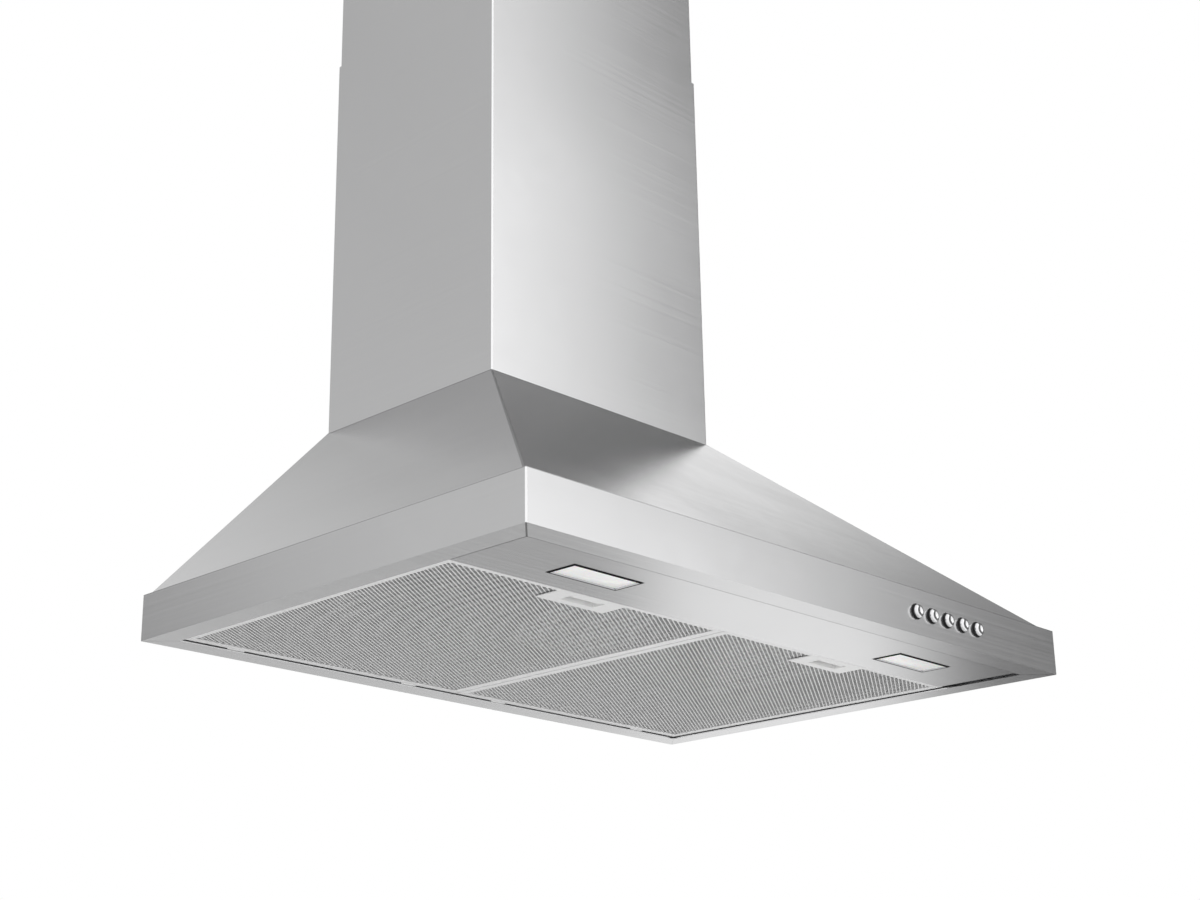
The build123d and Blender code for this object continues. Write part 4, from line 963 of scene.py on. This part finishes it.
def place_camera(stage):
    """The photograph's view: below the rim and from the left, looking up."""
    data = bpy.data.cameras.new("Camera")
    data.lens = stage.lens
    data.sensor_width = SENSOR_WIDTH
    data.sensor_fit = "HORIZONTAL"
    data.shift_x, data.shift_y = CAMERA_SHIFT
    data.clip_start = NEAREST
    camera = bpy.data.objects.new("Camera", data)
    bpy.context.scene.collection.objects.link(camera)
    across = Vector((math.cos(CAMERA_TURN), math.sin(CAMERA_TURN), 0))
    level = Vector((-math.sin(CAMERA_TURN), math.cos(CAMERA_TURN), 0))
    ahead = level * math.cos(CAMERA_PITCH) + Vector((0, 0, 1)) * math.sin(CAMERA_PITCH)
    up = Vector((0, 0, 1)) * math.cos(CAMERA_PITCH) - level * math.sin(CAMERA_PITCH)
    turn = Matrix((across, up, -ahead)).transposed().to_4x4()
    camera.matrix_world = Matrix.Translation(CAMERA_PLACE) @ turn
    bpy.context.scene.camera = camera


# Each lamp's name, place, target, width, and share of the key lamp's power
LAMPS = (
    ("Key lamp", (2.0, -2.75, 1.35), (0, -0.3, 0.1), 1.5, 1.0),
    ("Side lamp", (-3.0, -0.6, 1.6), (0, -0.2, 0.1), 1.4, 0.5),
)


def lamp(name, place, target, size, power):
    """A square soft lamp turned to a target."""
    data = bpy.data.lights.new(name, "AREA")
    data.shape = "SQUARE"
    data.size = size
    data.energy = power
    made = bpy.data.objects.new(name, data)
    bpy.context.scene.collection.objects.link(made)
    made.location = place
    made.rotation_euler = (Vector(target) - Vector(place)).to_track_quat("-Z", "Y").to_euler()


def direction(azimuth, elevation):
    """A unit vector from degrees round from +X and up."""
    turn = math.radians(azimuth)
    rise = math.radians(elevation)
    return (math.cos(turn) * math.cos(rise), math.sin(turn) * math.cos(rise), math.sin(rise))


# Each card's first and last azimuth, lowest and highest elevation and edge softness, all in
# degrees, and the tone that it gives to the white surroundings
STUDIO_CARDS = (
    (-43.6, 10.0, 18.2, 60.0, 1.4, 0.13),
    (-35.5, 10.0, -5.0, 18.0, 2.0, 0.12),
    (-41.0, 10.0, 16.5, 20.5, 1.6, 0.72),
    (-80.0, -45.0, 6.0, 50.0, 3.0, 1.20),
    (95.0, 170.0, 5.0, 60.0, 4.0, 0.66),
    (95.0, 170.0, 19.5, 60.0, 2.0, 0.85),
    (95.0, 125.5, 0.0, 18.0, 3.0, 0.38),
    (45.0, 77.0, 26.0, 80.0, 5.0, 0.56),
    (45.0, 67.0, 30.0, 75.0, 3.0, 0.50),
    (90.0, 125.0, 28.0, 60.0, 5.0, 0.75),
    (-5.0, 25.5, 20.0, 60.0, 3.0, 0.24),
    (41.8, 85.0, -40.0, -12.0, 1.6, 0.36),
    (30.0, 41.8, -40.0, -8.0, 2.0, 0.92),
    (-10.0, 33.6, -40.0, 0.0, 2.2, 0.18),
)


def card_mask(tree, view, height, start, end, low, high, softness):
    """How much of a card a direction meets, from 0 to 1."""
    reach = math.sin(math.radians(softness))
    mask = 1.0
    for edge_turn in (start + 90.0, end - 90.0):
        inside = vector_maths(tree, "DOT_PRODUCT", view, direction(edge_turn, 0.0))
        mask = maths(tree, "MULTIPLY", remap(tree, inside, -reach, reach, 0.0, 1.0), mask)
    for level, sense in ((low, 1.0), (high, -1.0)):
        edge = math.sin(math.radians(level))
        over = maths(tree, "MULTIPLY_ADD", height, sense, -sense * edge)
        mask = maths(tree, "MULTIPLY", remap(tree, over, -reach, reach, 0.0, 1.0), mask)
    return mask


def studio_world():
    """White surroundings with soft grey cards that shape the metal's reflections."""
    world = bpy.data.worlds.new("Studio")
    world.use_nodes = True
    tree = world.node_tree
    backing = tree.nodes["Background"]
    backing.inputs["Color"].default_value = (1.0, 1.0, 1.0, 1.0)
    view = tree.nodes.new("ShaderNodeTexCoord").outputs["Generated"]
    height = add(tree, "ShaderNodeSeparateXYZ", Vector=view).outputs["Z"]
    tone = 1.0
    for *edges, card_tone in STUDIO_CARDS:
        mask = card_mask(tree, view, height, *edges)
        tone = maths(tree, "MULTIPLY", maths(tree, "MULTIPLY_ADD", mask, card_tone - 1.0, 1.0), tone)
    path = tree.nodes.new("ShaderNodeLightPath").outputs
    shown = maths(tree, "MULTIPLY_ADD", path["Is Camera Ray"], maths(tree, "SUBTRACT", 1.0, tone), tone)
    tree.links.new(shown, backing.inputs["Strength"])
    bpy.context.scene.world = world


FLOOR_RADIUS = 2.6
FLOOR_MIDDLE_Y = -0.3
FLOOR_MOTTLE_SHARE = 0.97


def pale_floor(stage):
    """A round pale floor well below the hood."""
    material = bpy.data.materials.new("Pale floor")
    material.use_nodes = True
    tree = material.node_tree
    shader = tree.nodes["Principled BSDF"]
    place = tree.nodes.new("ShaderNodeTexCoord").outputs["Object"]
    mottle = add(tree, "ShaderNodeTexNoise", Vector=place, Scale=3.0, Detail=4.0)
    low = tuple(channel * FLOOR_MOTTLE_SHARE for channel in stage.floor_colour)
    colour = blend_colour(tree, mottle.outputs["Fac"], (*low, 1.0), (*stage.floor_colour, 1.0))
    tree.links.new(colour, shader.inputs["Base Color"])
    shader.inputs["Roughness"].default_value = 0.85
    shader.inputs["Emission Color"].default_value = (1.0, 1.0, 1.0, 1.0)
    shown = tree.nodes.new("ShaderNodeLightPath").outputs["Is Camera Ray"]
    attach(tree, maths(tree, "MULTIPLY", shown, stage.floor_lift), shader.inputs["Emission Strength"])
    made = bmesh.new()
    bmesh.ops.create_circle(made, cap_ends=True, radius=FLOOR_RADIUS, segments=96)
    bmesh.ops.translate(
        made, vec=(0, FLOOR_MIDDLE_Y, cad_bounds[0][2] - stage.floor_drop), verts=made.verts)
    mesh = bpy.data.meshes.new("floor")
    made.to_mesh(mesh)
    made.free()
    mesh.materials.append(material)
    floor = bpy.data.objects.new("floor", mesh)
    bpy.context.scene.collection.objects.link(floor)


class HOOD_OT_stage(bpy.types.Operator):
    """Sets the floor, lamps, surroundings and camera"""
    bl_idname = "hood.stage"
    bl_label = "Stage"

    def execute(self, context):
        stage = context.scene.hood_stage
        place_camera(stage)
        studio_world()
        pale_floor(stage)
        for name, place, target, size, share in LAMPS:
            lamp(name, place, target, size, stage.key_power * share)
        context.scene.view_settings.view_transform = "Standard"
        return {"FINISHED"}


OPERATORS = (
    HOOD_OT_stage,
    HOOD_OT_finishes,
    HOOD_OT_buttons,
    HOOD_OT_filter_meshes,
    HOOD_OT_finger_pulls,
    HOOD_OT_lamp_frames,
    HOOD_OT_lenses,
)


class HOOD_PT_panel(bpy.types.Panel):
    """Lists the hood's operators"""
    bl_idname = "HOOD_PT_panel"
    bl_label = "Wall mount range hood"
    bl_space_type = "VIEW_3D"
    bl_region_type = "UI"
    bl_category = "Hood"

    def draw(self, context):
        for operator in OPERATORS:
            self.layout.operator(operator.bl_idname)


SETTINGS = {
    "hood_metal": HoodMetalSettings,
    "hood_filters": HoodFilterSettings,
    "hood_controls": HoodControlSettings,
    "hood_stage": HoodStageSettings,
}


def register():
    """Registers the settings, operators and panel."""
    for name, group in SETTINGS.items():
        bpy.utils.register_class(group)
        setattr(bpy.types.Scene, name, PointerProperty(type=group))
    for group in (*OPERATORS, HOOD_PT_panel):
        bpy.utils.register_class(group)


def unregister():
    """Takes the settings, operators and panel out again."""
    for group in (HOOD_PT_panel, *reversed(OPERATORS)):
        bpy.utils.unregister_class(group)
    for name, group in SETTINGS.items():
        delattr(bpy.types.Scene, name)
        bpy.utils.unregister_class(group)


def main():
    """Builds the hood."""
    register()
    for operator in OPERATORS:
        family, name = operator.bl_idname.split(".")
        getattr(getattr(bpy.ops, family), name)()


if __name__ == "__main__":
    main()
